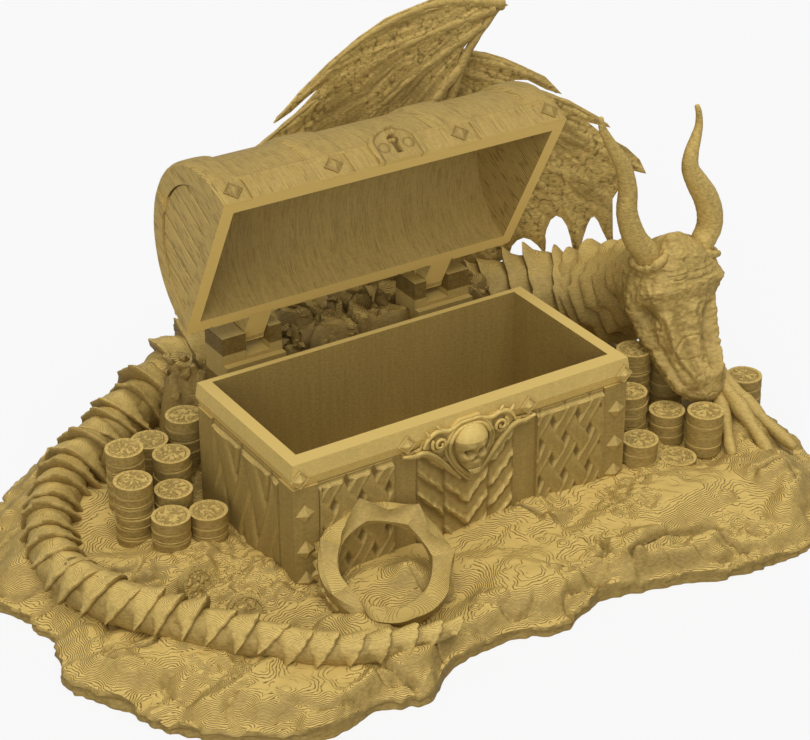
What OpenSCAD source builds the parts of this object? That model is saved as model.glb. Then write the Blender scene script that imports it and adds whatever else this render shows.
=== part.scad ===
// Dice chest with a hinged lid, standing on a rocky base with a fallen dragon round it.
// All sizes in millimetres. +X runs along the chest, -Y is its front, +Z is up.
// The origin lies on the flat underside of the base, below the middle of the chest.

/* [Chest] */
// Length of the chest over its rim band
chest_l = 100; // [90:0.5:115]
// Width of the chest over its rim band, front to back
chest_w = 48.6; // [44:0.2:56]
// Height of the rim above the underside of the base
rim_z = 41; // [36:0.5:50]
// Thickness of the left and right walls at the rim
end_wall = 3.8; // [3:0.1:5]
// Thickness of the front wall at the rim
front_wall = 4.6; // [3.4:0.1:6]
// Thickness of the back wall at the rim
back_wall = 2.2; // [2:0.1:4]
// Thickness of the chest's floor
chest_floor = 3; // [2:0.5:5]
// Height of the bevelled rim band
rim_band_h = 7; // [5:0.5:9]
// How far the rim band's ridge stands out from the chest's walls
rim_proud = 1.2; // [0.8:0.1:1.8]
// Width of each corner post
post_w = 7; // [5:0.5:9]
// How far posts and panels stand out from the walls
relief = 0.8; // [0.5:0.1:1]
// Width of each braided panel
braid_w = 21; // [16:0.5:24]
// Width of the scale panel under the crest
scale_panel_w = 29; // [24:0.5:32]
// Width of a strap across the chest's ends
strap_w = 6; // [4:0.5:8]
// Width of a pyramid stud, corner to corner
stud_w = 5.2; // [4:0.1:6]
// Height of a pyramid stud
stud_h = 1.2; // [0.8:0.1:1.8]

/* [Lid] */
// Length of the lid
lid_l = 98.6; // [88:0.2:114]
// Width of the lid, and twice its vault's radius
lid_w = 49.6; // [45:0.2:57]
// Straight height of the lid's sides below the vault
lid_side_h = 2; // [1:0.5:4]
// Thickness of the vault
lid_wall = 3.4; // [2.4:0.1:4.4]
// Thickness of the lid's end walls
lid_end_wall = 3.3; // [2.6:0.1:4.4]
// Height of the lid's lower edge band
edge_band_h = 7; // [5:0.5:9]
// How far the edge band and the straps stand out from the vault
band_proud = 0.9; // [0.5:0.1:1.2]
// Width of the straps at the lid's ends
end_strap_w = 7.6; // [5:0.2:9]
// Width of the two straps between them
mid_strap_w = 9.2; // [6:0.2:12]
// Distance from the lid's middle to the centre of each inner strap
mid_strap_x = 18.2; // [14:0.2:24]
// Width of the arched frame left round each end panel
end_frame_w = 4.6; // [3:0.2:6]
// Width of the lock plate
lock_w = 14; // [10:0.5:18]
// Gap between the closed lid and the chest's rim
lid_gap = 0.1; // [0:0.05:0.4]
// Angle by which the lid stands open at rest
open_angle = 61.8; // [30:0.1:80]

/* [Hinge] */
// Distance from the chest's back to the hinge axis
hinge_back = 12.2; // [10:0.2:15]
// Radius of the barrels, and height of the axis over the rim
barrel_r = 2.4; // [2:0.05:3]
// Diameter of the hinge pins
pin_d = 2; // [1.5:0.05:2.4]
// Radial running clearance between pin and barrel
pin_clearance = 0.08; // [0.04:0.01:0.1]
// Width of each hinge arm
arm_w = 6.4; // [5:0.2:8]
// Distance from the middle of the chest to the centre of each arm
arm_x = 27.6; // [24:0.2:32]
// Gap between an arm and the ear on each side
ear_gap = 0.3; // [0.2:0.05:0.5]
// Thickness of the outer ears
outer_ear_w = 6.8; // [4:0.2:8]
// Thickness of the inner ears
inner_ear_w = 3.6; // [2.6:0.2:5]
// Depth of the ears, front to back
ear_d = 9.6; // [8:0.2:11]

/* [Base] */
// Thickness of the flat slab under the rocks
slab_h = 4; // [3:0.5:6]
// Mean height of the sand over the slab
sand_h = 3; // [2:0.5:4]
// Height of the ripples and bumps in the sand
bump_h = 1; // [0:0.1:1.6]

/* [Coins] */
// Diameter of a coin
coin_d = 9.8; // [8:0.1:10]
// Thickness of a coin
coin_t = 3; // [2:0.1:4]
// Width of the raised border of a coin
coin_border = 0.9; // [0.6:0.1:1.4]
// Depth of the groove between two coins
coin_groove = 0.25; // [0.1:0.05:0.4]

/* [Ring] */
// Width of the leaning ring, corner to corner
ring_d = 34; // [32:0.2:36]
// Bore of the leaning ring
ring_bore = 22.6; // [20:0.2:23]
// Thickness of the leaning ring
ring_t = 6.4; // [5:0.2:8]
// Number of facets round the ring
ring_facets = 7; // [7:1:9]
// Angle of the ring above the ground
ring_lean = 33.7; // [28:0.1:38]

/* [Dragon] */
// Width of the head across the brows
brow_w = 27; // [22:0.5:30]
// Width of the snout
snout_w = 17; // [13:0.5:19]
// Thickness of a horn at its base
horn_d = 6.8; // [5:0.1:8]
// Thickness of the wing membranes
membrane_t = 1.6; // [1.2:0.1:2.4]
// Thickness of a wing finger
finger_d = 3.2; // [2.4:0.1:4]
// Scale of the thickness of the neck, back and tail
body_girth = 1; // [0.8:0.05:1.15]
// Thickness of a claw bone
claw_d = 4.6; // [3.6:0.1:5.6]

/* [Hidden] */
$fn = 48;

// Colours of the print: lit sand, chest, and the deeper tone of the dragon
sand_color = [0.80, 0.67, 0.38];
chest_color = [0.74, 0.60, 0.33];
lid_color = [0.76, 0.62, 0.35];
metal_color = [0.82, 0.70, 0.42];
dragon_color = [0.66, 0.54, 0.29];

// Overrun of a cut
over = 1;

// Levels
seat_z = slab_h + 1;              // the chest stands here, in a pocket of the base
ground_z = slab_h + sand_h;       // mean level of the sand
wall_top = rim_z - rim_band_h;    // where the chest's walls end and its rim band begins

// The chest's walls lie inside the ridge of its rim band
body_l = chest_l - 2 * rim_proud;
body_w = chest_w - 2 * rim_proud;
cavity_l = chest_l - 2 * end_wall;
cavity_w = chest_w - front_wall - back_wall;
cavity_y = (front_wall - back_wall) / 2;

// Hinge axis, and the lid's own levels
hinge_y = chest_w / 2 + hinge_back;
hinge_z = rim_z + barrel_r;
lid_z = rim_z + lid_gap;          // the closed lid's rim
vault_r = lid_w / 2;
vault_z = lid_z + lid_side_h;

// Half length and half width of the chest that the plan points below are drawn round.
// A plan point beyond the chest keeps its distance to the chest's wall.
plan_x = 50;
plan_y = 24.3;

function stretch(v, plan, half) = abs(v) <= plan ? v * half / plan : sign(v) * (half + abs(v) - plan);
function plan(p) = [stretch(p[0], plan_x, chest_l / 2), stretch(p[1], plan_y, chest_w / 2)];
// A point given by its plan place, its height over the mean ground, and a radius
function spot(p) = concat(plan(p), [ground_z + p[2]], [p[3]]);

// Smooth curve through points, at u from 0 to the number of points less one
function between(a, b, c, d, t) =
    0.5 * (2 * b + (c - a) * t + (2 * a - 5 * b + 4 * c - d) * t * t + (3 * b - a - 3 * c + d) * t * t * t);
function along(pts, u) =
    let (last = len(pts) - 1, i = min(floor(u), last - 1))
    between(pts[max(i - 1, 0)], pts[i], pts[i + 1], pts[min(i + 2, last)], u - i);
function around(pts, u) =
    let (n = len(pts), i = floor(u))
    between(pts[(i + n - 1) % n], pts[i % n], pts[(i + 1) % n], pts[(i + 2) % n], u - i);
function xyz(p) = [p[0], p[1], p[2]];
function unit(v) = v / norm(v);

// A round body swept along points [x, y, z, radius], with flat ends
module swept(pts, steps = 3, sides = 12, tall = 1) {
    n = (len(pts) - 1) * steps;
    ring = [for (k = [0 : n]) along(pts, k / steps)];
    points = [for (k = [0 : n])
        let (tangent = unit(xyz(ring[min(k + 1, n)]) - xyz(ring[max(k - 1, 0)])),
             side = unit(cross(tangent, abs(tangent[2]) > 0.9 ? [0, 1, 0] : [0, 0, 1])),
             rise = cross(side, tangent))
        for (s = [0 : sides - 1])
            xyz(ring[k]) + ring[k][3] * (cos(360 * s / sides) * side + tall * sin(360 * s / sides) * rise)];
    walls = [for (k = [0 : n - 1], s = [0 : sides - 1])
        let (t = (s + 1) % sides)
        [k * sides + s, k * sides + t, (k + 1) * sides + t, (k + 1) * sides + s]];
    polyhedron(points, concat(walls, [[for (s = [sides - 1 : -1 : 0]) s]],
                              [[for (s = [0 : sides - 1]) n * sides + s]]), convexity = 8);
}

// ---- Base ----

// Outline of the base, on the plan, anticlockwise from the right
outline = [[106, -8], [105, 16], [99, 38], [86, 56], [64, 70], [38, 80], [8, 88], [-22, 90], [-44, 87],
           [-66, 75], [-82, 64], [-96, 51], [-108, 34], [-110, 14], [-105, -2], [-109, -22], [-103, -36],
           [-93, -55], [-70, -70], [-54, -68], [-43, -72], [-30, -64], [-12, -62], [0, -66], [16, -61],
           [36, -66], [52, -71], [76, -70], [92, -54], [103, -38], [104, -26]];
// Mounds in the sand: plan place, height, spread
mounds = [[-57, -20, 3, 10], [-62, -2, 1.5, 14], [-26, -36, 2, 7], [30, -38, 2.5, 18], [60, -40, 2, 14], [-8, -46, 2, 12],
          [96, -18, 3.5, 12], [-30, 52, 8, 16], [10, 60, 9, 22], [52, 48, 8, 18], [-86, 44, 3, 14],
          [-100, 20, 2, 10], [-60, -58, 2, 10], [84, -48, 3, 12], [78, 14, 5, 14], [-70, 60, 4, 14]];
outline_steps = 90;
terrain_rings = 12;

function bump(x, y) = bump_h * (0.5 * sin(9 * x + 40 * sin(5 * y)) + 0.35 * cos(13 * y - 4 * x)
                                + 0.3 * sin(23 * x + 17 * y));
function mound_sum(x, y) = [for (m = mounds)
    let (c = plan([m[0], m[1]]), d = (x - c[0]) * (x - c[0]) + (y - c[1]) * (y - c[1]))
    m[2] * exp(-d / (m[3] * m[3]))] * [for (m = mounds) 1];
// Height of the ground; f runs from 0 under the chest to 1 at the base's edge
function ground(x, y, f) = slab_h + (sand_h + bump(x, y) + mound_sum(x, y)) * (1 - 0.55 * pow(f, 6));

function edge_point(k) = plan(around(outline, k * len(outline) / outline_steps));
function ragged(k) = 1 + 0.008 * sin(137 * k) + 0.006 * sin(251 * k + 30);

module base_terrain() {
    n = outline_steps;
    m = terrain_rings;
    top = [for (j = [1 : m], k = [0 : n - 1])
        let (f = j / m, e = edge_point(k) * (j == m ? ragged(k) : 1), x = e[0] * f, y = e[1] * f)
        [x, y, ground(x, y, f)]];
    rim = [for (k = [0 : n - 1]) let (e = edge_point(k) * ragged(k)) [e[0], e[1], 0]];
    centre = [[0, 0, ground(0, 0, 0)]];
    faces = concat(
        [for (k = [0 : n - 1]) [m * n + n, (k + 1) % n, k]],
        [for (j = [0 : m - 2], k = [0 : n - 1]) let (t = (k + 1) % n)
            for (h = [0, 1]) h == 0 ? [j * n + k, j * n + t, (j + 1) * n + t]
                                    : [j * n + k, (j + 1) * n + t, (j + 1) * n + k]],
        [for (k = [0 : n - 1]) let (t = (k + 1) % n)
            for (h = [0, 1]) h == 0 ? [(m - 1) * n + k, (m - 1) * n + t, m * n + t]
                                    : [(m - 1) * n + k, m * n + t, m * n + k]],
        [[for (k = [0 : n - 1]) m * n + k]]);
    color(sand_color) difference() {
        polyhedron(concat(top, rim, centre), faces, convexity = 10);
        // Pocket for the chest
        translate([-body_l / 2 - relief, -body_w / 2 - relief, seat_z])
            cube([body_l + 2 * relief, body_w + 2 * relief, rim_z]);
    }
}

// ---- Chest ----

module chest_box() {
    color(chest_color) difference() {
        translate([-body_l / 2, -body_w / 2, seat_z]) cube([body_l, body_w, wall_top - seat_z]);
        translate([-cavity_l / 2, cavity_y - cavity_w / 2, seat_z + chest_floor])
            cube([cavity_l, cavity_w, rim_z]);
    }
}

// Section of the rim band, from one side of the chest to the other
ridge_z = wall_top + 0.42 * rim_band_h;
module band_section(half) {
    foot = half - rim_proud;
    top = half - 0.4 * rim_proud;
    polygon([[-foot, wall_top], [foot, wall_top], [half, ridge_z], [top, rim_z], [-top, rim_z], [-half, ridge_z]]);
}

module chest_rim_band() {
    color(chest_color) difference() {
        intersection() {
            rotate([90, 0, 0]) linear_extrude(chest_w, center = true) band_section(chest_l / 2);
            rotate([90, 0, 90]) linear_extrude(chest_l, center = true) band_section(chest_w / 2);
        }
        translate([-cavity_l / 2, cavity_y - cavity_w / 2, wall_top - over])
            cube([cavity_l, cavity_w, rim_band_h + 2 * over]);
    }
}

// An L-shaped post round each corner of the chest
module chest_corner_posts() {
    color(chest_color) for (sx = [-1, 1], sy = [-1, 1]) difference() {
        translate([sx > 0 ? body_l / 2 + relief - post_w : -body_l / 2 - relief,
                   sy > 0 ? body_w / 2 + relief - post_w : -body_w / 2 - relief, seat_z])
            cube([post_w, post_w, wall_top - seat_z]);
        translate([-body_l / 2, -body_w / 2, seat_z - over]) cube([body_l, body_w, rim_z]);
    }
}

// A strap of the plait: a slanted bar, cut off by its panel's frame
module slant(w, h, lean, x0) {
    intersection() {
        translate([x0, 0, 0]) rotate([0, 0, lean]) square([w, 4 * h], center = true);
        square([2 * h, h], center = true);
    }
}

// Flat plait of crossing straps, drawn on x and y, raised along z
module plait(w, h, t) {
    strand = w / 5.2;
    pitch = w / 2;
    linear_extrude(t * 0.6) intersection() {
        square([w, h], center = true);
        union() for (lean = [-24, 24], x = [-2 : 2]) slant(strand, h, lean, x * pitch);
    }
    for (x = [-w / 2, w / 2 - strand / 2]) translate([x, -h / 2, 0]) cube([strand / 2, h, t]);
}

panel_h = wall_top - seat_z - 0.4;
panel_z = seat_z + panel_h / 2;
panel_gap = 0.2;                  // between a panel and the post beside it
braid_x = body_l / 2 + relief - post_w - panel_gap - braid_w / 2;

module front_panel_at(x) { translate([x, -body_w / 2, panel_z]) rotate([90, 0, 0]) children(); }
module back_panel_at(x) { translate([x, body_w / 2, panel_z]) rotate([90, 0, 180]) children(); }

module chest_front_braids() {
    color(chest_color) for (s = [-1, 1]) front_panel_at(s * braid_x) plait(braid_w, panel_h, relief);
}

module chest_back_braids() {
    color(chest_color) for (s = [-1, 1]) back_panel_at(s * braid_x) plait(braid_w, panel_h, relief);
}

// One shield-shaped scale, its point down
module shield(w, h, t) {
    linear_extrude(t) polygon([[0, -h / 2], [w / 2, -h / 8], [w / 2, h / 2.6], [w / 4, h / 2],
                               [-w / 4, h / 2], [-w / 2, h / 2.6], [-w / 2, -h / 8]]);
}

scale_rows = 4;
module chest_scale_panel() {
    scale_h = panel_h / scale_rows;
    column = scale_panel_w / 4;
    color(chest_color) front_panel_at(0) {
        linear_extrude(relief * 0.4) square([scale_panel_w, panel_h], center = true);
        for (c = [-1, 0, 1], r = [0 : scale_rows - 1])
            translate([c * column * (c == 0 ? 1 : 1.45), panel_h / 2 - (r + 0.5) * scale_h, 0])
                shield(c == 0 ? 2 * column - 1 : column * 0.8, scale_h * 0.94, relief);
    }
}

// Crossed straps on the two ends of the chest
module chest_end_straps() {
    end_w = body_w + 2 * relief - 2 * post_w - 0.6;
    color(chest_color) for (s = [-1, 1])
        translate([s * body_l / 2, 0, panel_z]) rotate([90, 0, s * 90])
            linear_extrude(relief) intersection() {
                square([end_w, panel_h], center = true);
                union() {
                    for (lean = [-28, 28]) slant(strap_w, panel_h, lean, 0);
                    for (e = [-1, 1]) translate([e * end_w / 2, 0]) square([strap_w, panel_h], center = true);
                }
            }
}

// A four-sided pyramid stud that stands out along z, with a flat back
module stud() {
    linear_extrude(stud_h * 0.4) circle(d = stud_w, $fn = 4);
    translate([0, 0, stud_h * 0.4]) linear_extrude(stud_h * 0.6) circle(d = stud_w * 0.62, $fn = 4);
}

post_mid = chest_l / 2 - post_w / 2;
stud_levels = [0.76, 0.4, 0.1];   // shares of the panel's height
crest_stud_x = 18;                // studs on the band, beside the crest
module chest_studs() {
    face = body_w / 2 + relief;
    color(metal_color) {
        for (s = [-1, 1], f = stud_levels)
            translate([s * post_mid, -face, seat_z + f * panel_h]) rotate([90, 0, 0]) stud();
        for (s = [-1, 1], f = stud_levels)
            translate([s * post_mid, face, seat_z + f * panel_h]) rotate([-90, 0, 0]) stud();
        for (s = [-1, 1])
            for (x = [post_mid + 1.5, crest_stud_x])
                translate([s * x, -chest_w / 2, ridge_z]) rotate([90, 0, 0]) stud();
    }
}

// ---- Crest on the chest's front ----

crest_y = -chest_w / 2;
crest_z = rim_z - 10.4;
skull_w = 9;

module crest_skull() {
    color(metal_color) translate([0, crest_y - 1.7, crest_z]) difference() {
        union() {
            // Brain case, cheeks, jaw
            translate([0, 0, 2.6]) sphere(d = skull_w, $fn = 32);
            for (s = [-1, 1]) translate([s * skull_w * 0.27, -0.4, -0.6]) sphere(d = skull_w * 0.46, $fn = 24);
            translate([-skull_w * 0.23, -skull_w * 0.4, -5]) cube([skull_w * 0.46, skull_w * 0.5, 5]);
        }
        // The skull lies against the crest's shield
        translate([-20, 1.2, -20]) cube(40);
        // Eye sockets and nose
        for (s = [-1, 1]) translate([s * skull_w * 0.2, -skull_w * 0.42, 1.1]) sphere(d = skull_w * 0.27, $fn = 24);
        translate([0, -skull_w * 0.42, -1]) sphere(d = skull_w * 0.16, $fn = 16);
        // Gaps between the teeth
        for (x = [-1 : 1]) translate([x * skull_w * 0.11 - 0.12, -skull_w, -5]) cube([0.24, skull_w * 0.64, 2.2]);
    }
}

// One curled volute: a torus quarter that ends in a knob
module volute(r, t) {
    rotate([90, 0, 0]) {
        rotate_extrude(angle = 250, $fn = 36) translate([r, 0]) circle(d = t, $fn = 20);
        translate([r, 0, 0]) sphere(d = t * 1.3, $fn = 20);
    }
}

module crest_scrollwork() {
    color(metal_color) difference() {
        union() {
            // Pointed oval shield behind the skull
            translate([0, crest_y + 0.2, crest_z]) rotate([90, 0, 0]) linear_extrude(0.7 + 0.2)
                union() {
                    circle(d = 13);
                    polygon([[-6.2, -2], [0, -10], [6.2, -2]]);
                    polygon([[-9, 7.6], [9, 7.6], [5, -2], [-5, -2]]);
                }
            // Volutes to both sides
            for (s = [-1, 1]) {
                translate([s * 8.4, crest_y - 0.8, crest_z + 2.6]) rotate([0, s > 0 ? 150 : -60, 0]) volute(2.2, 1.5);
                translate([s * 5.6, crest_y - 0.8, crest_z + 7]) rotate([0, s > 0 ? 20 : 70, 0]) volute(1.5, 1.2);
                // Leaf towards the stud on the rim band
                translate([s * 11, crest_y + 0.2, crest_z + 4]) rotate([90, 0, 0]) linear_extrude(1.1)
                    polygon([[-s * 3, -3], [s * 1.5, -1], [s * 4, 2.4], [s * 1, 3], [-s * 3, 2]]);
            }
        }
        // Nothing reaches above the rim or into the band
        translate([-40, crest_y, 0]) cube([80, 40, rim_z + 20]);
        translate([-40, crest_y - 20, rim_z - 0.6]) cube([80, 40, 20]);
        crest_clear();
    }
}

// Room for the skull in the scrollwork
module crest_clear() {
    translate([0, crest_y - 1.7, crest_z]) {
        translate([0, 0, 2.6]) sphere(d = skull_w, $fn = 32);
        for (s = [-1, 1]) translate([s * skull_w * 0.27, -0.4, -0.6]) sphere(d = skull_w * 0.46, $fn = 24);
        translate([-skull_w * 0.23, -skull_w * 0.4, -5]) cube([skull_w * 0.46, skull_w * 0.4 + 1.2, 5]);
    }
}

// ---- Hinge ----

arm_side = arm_w / 2;
bracket_top = hinge_z + barrel_r + 0.4;
bracket_foot = slab_h + 2;
pin_end = 1.6;

// Ear blocks of one hinge; s is -1 on the left and 1 on the right
module bracket(s) {
    inner = arm_x - arm_side - ear_gap - inner_ear_w;
    outer = arm_x + arm_side + ear_gap;
    color(chest_color) difference() {
        union() {
            for (e = [[inner, inner_ear_w], [outer, outer_ear_w]])
                translate([s > 0 ? e[0] : -e[0] - e[1], hinge_y - ear_d / 2, bracket_foot])
                    cube([e[1], ear_d, bracket_top - bracket_foot]);
            // Cross block below the arm, and the ledge in front
            translate([s > 0 ? inner : -outer - outer_ear_w, hinge_y - ear_d / 2, bracket_foot])
                cube([outer + outer_ear_w - inner, ear_d, rim_z - 1.4 - bracket_foot]);
            translate([s > 0 ? inner : -outer - outer_ear_w, hinge_y - ear_d / 2 - 2, bracket_foot])
                cube([outer + outer_ear_w - inner, ear_d, rim_z - 2.4 - bracket_foot]);
        }
        // Room for the turning barrel, and the bore for the pin
        translate([s * arm_x, hinge_y, hinge_z]) rotate([0, 90, 0])
            cylinder(h = arm_w + 2 * ear_gap, r = barrel_r + 0.4, center = true);
        translate([s * (inner - over), hinge_y, hinge_z]) rotate([0, s * 90, 0])
            cylinder(h = outer + outer_ear_w - inner - pin_end + over, d = pin_d);
    }
}

module pin(s) {
    inner = arm_x - arm_side - ear_gap - inner_ear_w;
    length = 2 * arm_side + 2 * ear_gap + inner_ear_w + outer_ear_w - pin_end;
    color(metal_color) translate([s * inner, hinge_y, hinge_z]) rotate([0, s * 90, 0])
        cylinder(h = length, d = pin_d);
}

module hinge_bracket_left() { bracket(-1); }
module hinge_bracket_right() { bracket(1); }
module hinge_pin_left() { pin(-1); }
module hinge_pin_right() { pin(1); }

// ---- Lid, drawn closed and turned about the hinge axis ----

module opened() {
    translate([0, hinge_y, hinge_z]) rotate([-open_angle, 0, 0]) translate([0, -hinge_y, -hinge_z]) children();
}

// Section of the lid, grown or shrunk by g and drawn on below its rim: x is the lid's y, y is its height
module lid_section(g, below = 0) {
    translate([0, vault_z]) intersection() {
        circle(r = vault_r + g, $fn = 96);
        translate([-2 * lid_w, 0]) square([4 * lid_w, 2 * lid_w]);
    }
    translate([-vault_r - g, lid_z - below]) square([2 * (vault_r + g), lid_side_h + below]);
}

module lid_bar(x, w, g, below = 0) {
    translate([x, 0, 0]) rotate([90, 0, 90]) linear_extrude(w, center = true) lid_section(g, below);
}

panel_deep = 1;
module lid_shell() {
    color(lid_color) opened() difference() {
        lid_bar(0, lid_l, 0);
        // The cavity is open below
        lid_bar(0, lid_l - 2 * lid_end_wall, -lid_wall, over);
        // Arched recesses in the ends
        for (s = [-1, 1]) lid_bar_end(s, panel_deep);
    }
}

// The recess of an end panel
module lid_bar_end(s, deep) {
    translate([s * (lid_l / 2 - deep / 2 + over / 2), 0, 0]) rotate([90, 0, 90])
        linear_extrude(deep + over, center = true) intersection() {
            lid_section(-end_frame_w);
            translate([-lid_w, lid_z + end_frame_w * 0.7]) square([2 * lid_w, lid_w]);
        }
}

module lid_end_panels() {
    color(lid_color) opened() for (s = [-1, 1]) {
        // Thin planked panel, in the recess
        translate([s * (lid_l / 2 - panel_deep + 0.2), 0, 0]) rotate([90, 0, 90])
            linear_extrude(0.4, center = true) intersection() {
                lid_section(-end_frame_w - 0.3);
                translate([-lid_w, lid_z + end_frame_w * 0.7 + 0.3]) square([2 * lid_w, lid_w]);
            }
        // Small tab at the crown of the frame
        translate([s * (lid_l / 2 + 0.3), 0, vault_z + vault_r - end_frame_w / 2]) cube([0.6, 2.4, 3.4], center = true);
    }
}

// Edge band round the foot of the lid, front and back
module lid_edge_band() {
    color(lid_color) opened() for (s = [-1, 1]) intersection() {
        difference() {
            lid_bar(0, lid_l, band_proud);
            lid_bar(0, lid_l + over, 0, over);
            for (x = [-1, 1]) lid_strap_room(x);
            if (s < 0) lock_room();
            if (s > 0) for (x = [-1, 1]) translate([x * arm_x, vault_r, lid_z + edge_band_h / 2])
                cube([arm_w + 0.1, 2 * lid_wall, edge_band_h + over], center = true);
        }
        translate([-lid_l, s < 0 ? -lid_w : 0, lid_z]) cube([2 * lid_l, lid_w, edge_band_h]);
    }
}

module lid_strap_room(x) {
    lid_bar(x * (lid_l / 2 - end_strap_w / 2), end_strap_w, band_proud + over, over);
    lid_bar(x * mid_strap_x, mid_strap_w, band_proud + over, over);
}

// Straps over the vault: one at each end, two between
module lid_straps() {
    color(lid_color) opened() for (s = [-1, 1]) difference() {
        for (b = [[lid_l / 2 - end_strap_w / 2, end_strap_w], [mid_strap_x, mid_strap_w]]) difference() {
            lid_bar(s * b[0], b[1], band_proud);
            lid_bar(0, lid_l + over, 0, over);
        }
        for (x = [-1, 1]) translate([x * arm_x, vault_r, lid_z + edge_band_h / 2])
            cube([arm_w + 0.1, 2 * lid_wall, edge_band_h + over], center = true);
    }
}

lock_h = 10;
// Outline of the lock plate, standing on the rim line
module lock_outline(g) {
    translate([-lock_w / 2 - g, lid_z]) square([lock_w + 2 * g, lock_h - lock_w / 3 + g]);
    translate([0, lid_z + lock_h - lock_w / 3]) scale([1, 0.667]) circle(d = lock_w + 2 * g, $fn = 48);
}

module lock_room() {
    translate([0, -vault_r + 1, 0]) rotate([90, 0, 0]) linear_extrude(4 * band_proud) lock_outline(0.05);
}

module lid_lock_plate() {
    plate_y = -vault_r - band_proud - 0.5;
    color(metal_color) opened() difference() {
        union() {
            translate([0, plate_y + 4.6, 0]) rotate([90, 0, 0]) linear_extrude(4.6) lock_outline(0);
            for (s = [-1, 1]) translate([s * 3.4, plate_y, lid_z + 4.4]) rotate([90, 0, 0]) cylinder(h = 0.5, d = 2);
        }
        lid_bar(0, lid_l, 0);
        // Keyhole
        translate([0, plate_y, lid_z + 6]) rotate([90, 0, 0]) cylinder(h = 1.6, d = 2.6, center = true);
        translate([-0.75, plate_y - 1, lid_z + 1.8]) cube([1.5, 1.8, 4.2]);
    }
}

module lid_studs() {
    stud_x = [lid_l / 2 - end_strap_w / 2, mid_strap_x];
    color(metal_color) opened() for (s = [-1, 1], x = stud_x, f = [-1, 1])
        translate([s * x, f * (vault_r + band_proud), lid_z + 3.2])
            rotate([-f * 90, 0, 0]) stud();
}

// Arm from the lid's back edge to its barrel on the pin
module arm(s) {
    flat = 0.85 * barrel_r;
    color(lid_color) opened() translate([s * arm_x, 0, 0]) rotate([90, 0, 90])
        linear_extrude(arm_w, center = true) difference() {
            union() {
                translate([vault_r - lid_wall / 2, hinge_z - flat]) square([hinge_y - vault_r + lid_wall / 2, 2 * flat]);
                translate([hinge_y, hinge_z]) circle(r = barrel_r);
            }
            lid_section(0);
            translate([hinge_y, hinge_z]) circle(d = pin_d + 2 * pin_clearance);
        }
}

module hinge_arm_left() { arm(-1); }
module hinge_arm_right() { arm(1); }

// ---- Rubble between and beside the brackets ----

// Rocks: plan place, height of the top over the rim, radius, turn. They grow with the chest's length.
rock_grow = chest_l / (2 * plan_x);
rocks = [[-12, 38, -1, 9, 10], [4, 39, 1, 10, 40], [17, 38, 0, 8, 75], [-6, 47, 2, 9, 20], [10, 48, 3, 9, 65],
         [26, 49, -1, 9, 5], [-22, 47, -3, 9, 50], [42, 44, -3, 8, 30], [50, 50, -6, 8, 80], [-39, 51, -6, 8, 15]];
module rubble_mound() {
    color(sand_color) for (r = rocks) let (p = plan([r[0], r[1]])) {
        translate([p[0], p[1], ground_z - 1]) rotate([0, 0, r[4]]) hull() {
            cylinder(h = 1, r = r[3] * 1.1 * rock_grow, $fn = 9);
            translate([0, 0, rim_z - ground_z + r[2] - 7]) rotate([8, 0, 0])
                cylinder(h = 2, r = r[3] * 0.9 * rock_grow, $fn = 7);
            translate([1, 1, rim_z - ground_z + r[2] - 1]) cylinder(h = 1, r = r[3] * 0.45 * rock_grow, $fn = 6);
        }
    }
}

// ---- Leaning ring ----

// Middle of the ring: its place along the chest, its distance to the chest's front wall, its height
// over the mean ground. It leans on the chest's front panels and stands in the sand.
ring_place = [-32, 13.7, 9.8];
ring_swing = -13.3;               // about the vertical
ring_turn = 98.5;                 // of its first corner, in its own plane
ring_flare = 1.8;                 // by which the bore's radius grows to the front
scoop_r = 7;

module faceted_ring() {
    outer = ring_d / 2;
    flat = outer * cos(180 / ring_facets);
    color(metal_color) difference() {
        translate([ring_place[0], -chest_w / 2 - ring_place[1], ground_z + ring_place[2]])
            rotate([0, 0, ring_swing]) rotate([ring_lean, 0, 0]) difference() {
                rotate([0, 0, ring_turn]) cylinder(h = ring_t, r = outer, center = true, $fn = ring_facets);
                cylinder(h = ring_t + 2 * over, r1 = ring_bore / 2 - ring_flare * over / ring_t,
                         r2 = ring_bore / 2 + ring_flare * (1 + over / ring_t), center = true);
                // Scooped facets, from the bore's front edge down to the ring's outer edge
                for (k = [0 : ring_facets - 1]) rotate([0, 0, ring_turn + (k + 0.5) * 360 / ring_facets])
                    translate([flat + 0.6 * scoop_r, 0, ring_t / 2 + 0.3 * scoop_r]) rotate([90, 0, 0])
                        cylinder(h = 2 * outer, r = scoop_r, center = true, $fn = 40);
            }
        translate([-chest_l / 2, -body_w / 2 - relief, 0]) cube([chest_l, chest_w, rim_z]);
    }
}

// ---- Coins ----

// Left and right stacks: plan place, number of coins, height of the foot over the mean ground
left_stacks = [[-69, 27.5, 7, -1.5], [-57.5, 37, 5, -1.5], [-56.6, 26.4, 5, -0.6], [-47, 37.6, 6, -0.6],
               [-72, 17, 6, -1.5], [-61.5, 16, 4, -1], [-67.5, 5.8, 4, -1.3], [-57.2, 5.8, 3, -0.3]];
right_stacks = [[71, 0, 7, -1.5], [81.4, -1.6, 5, -1], [61.6, -10.4, 5, -0.8], [71.6, -14.6, 3, -1.6],
                [76, -25.2, 4, -1.2], [56.4, -22.4, 3, -2], [66, -27, 1, -2.2], [99, -14, 4, -2.4]];

// Section of one coin, sides down to the axis
module coin_section(k, last) {
    translate([0, k * coin_t]) polygon([[0, 0], [coin_d / 2 - coin_groove, 0], [coin_d / 2, coin_groove],
        [coin_d / 2, coin_t - coin_groove], [coin_d / 2 - coin_groove, coin_t],
        [coin_d / 2 - coin_border, coin_t], [coin_d / 2 - coin_border, coin_t - (last ? 0.4 : 0)],
        [0, coin_t - (last ? 0.4 : 0)]]);
}

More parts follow.
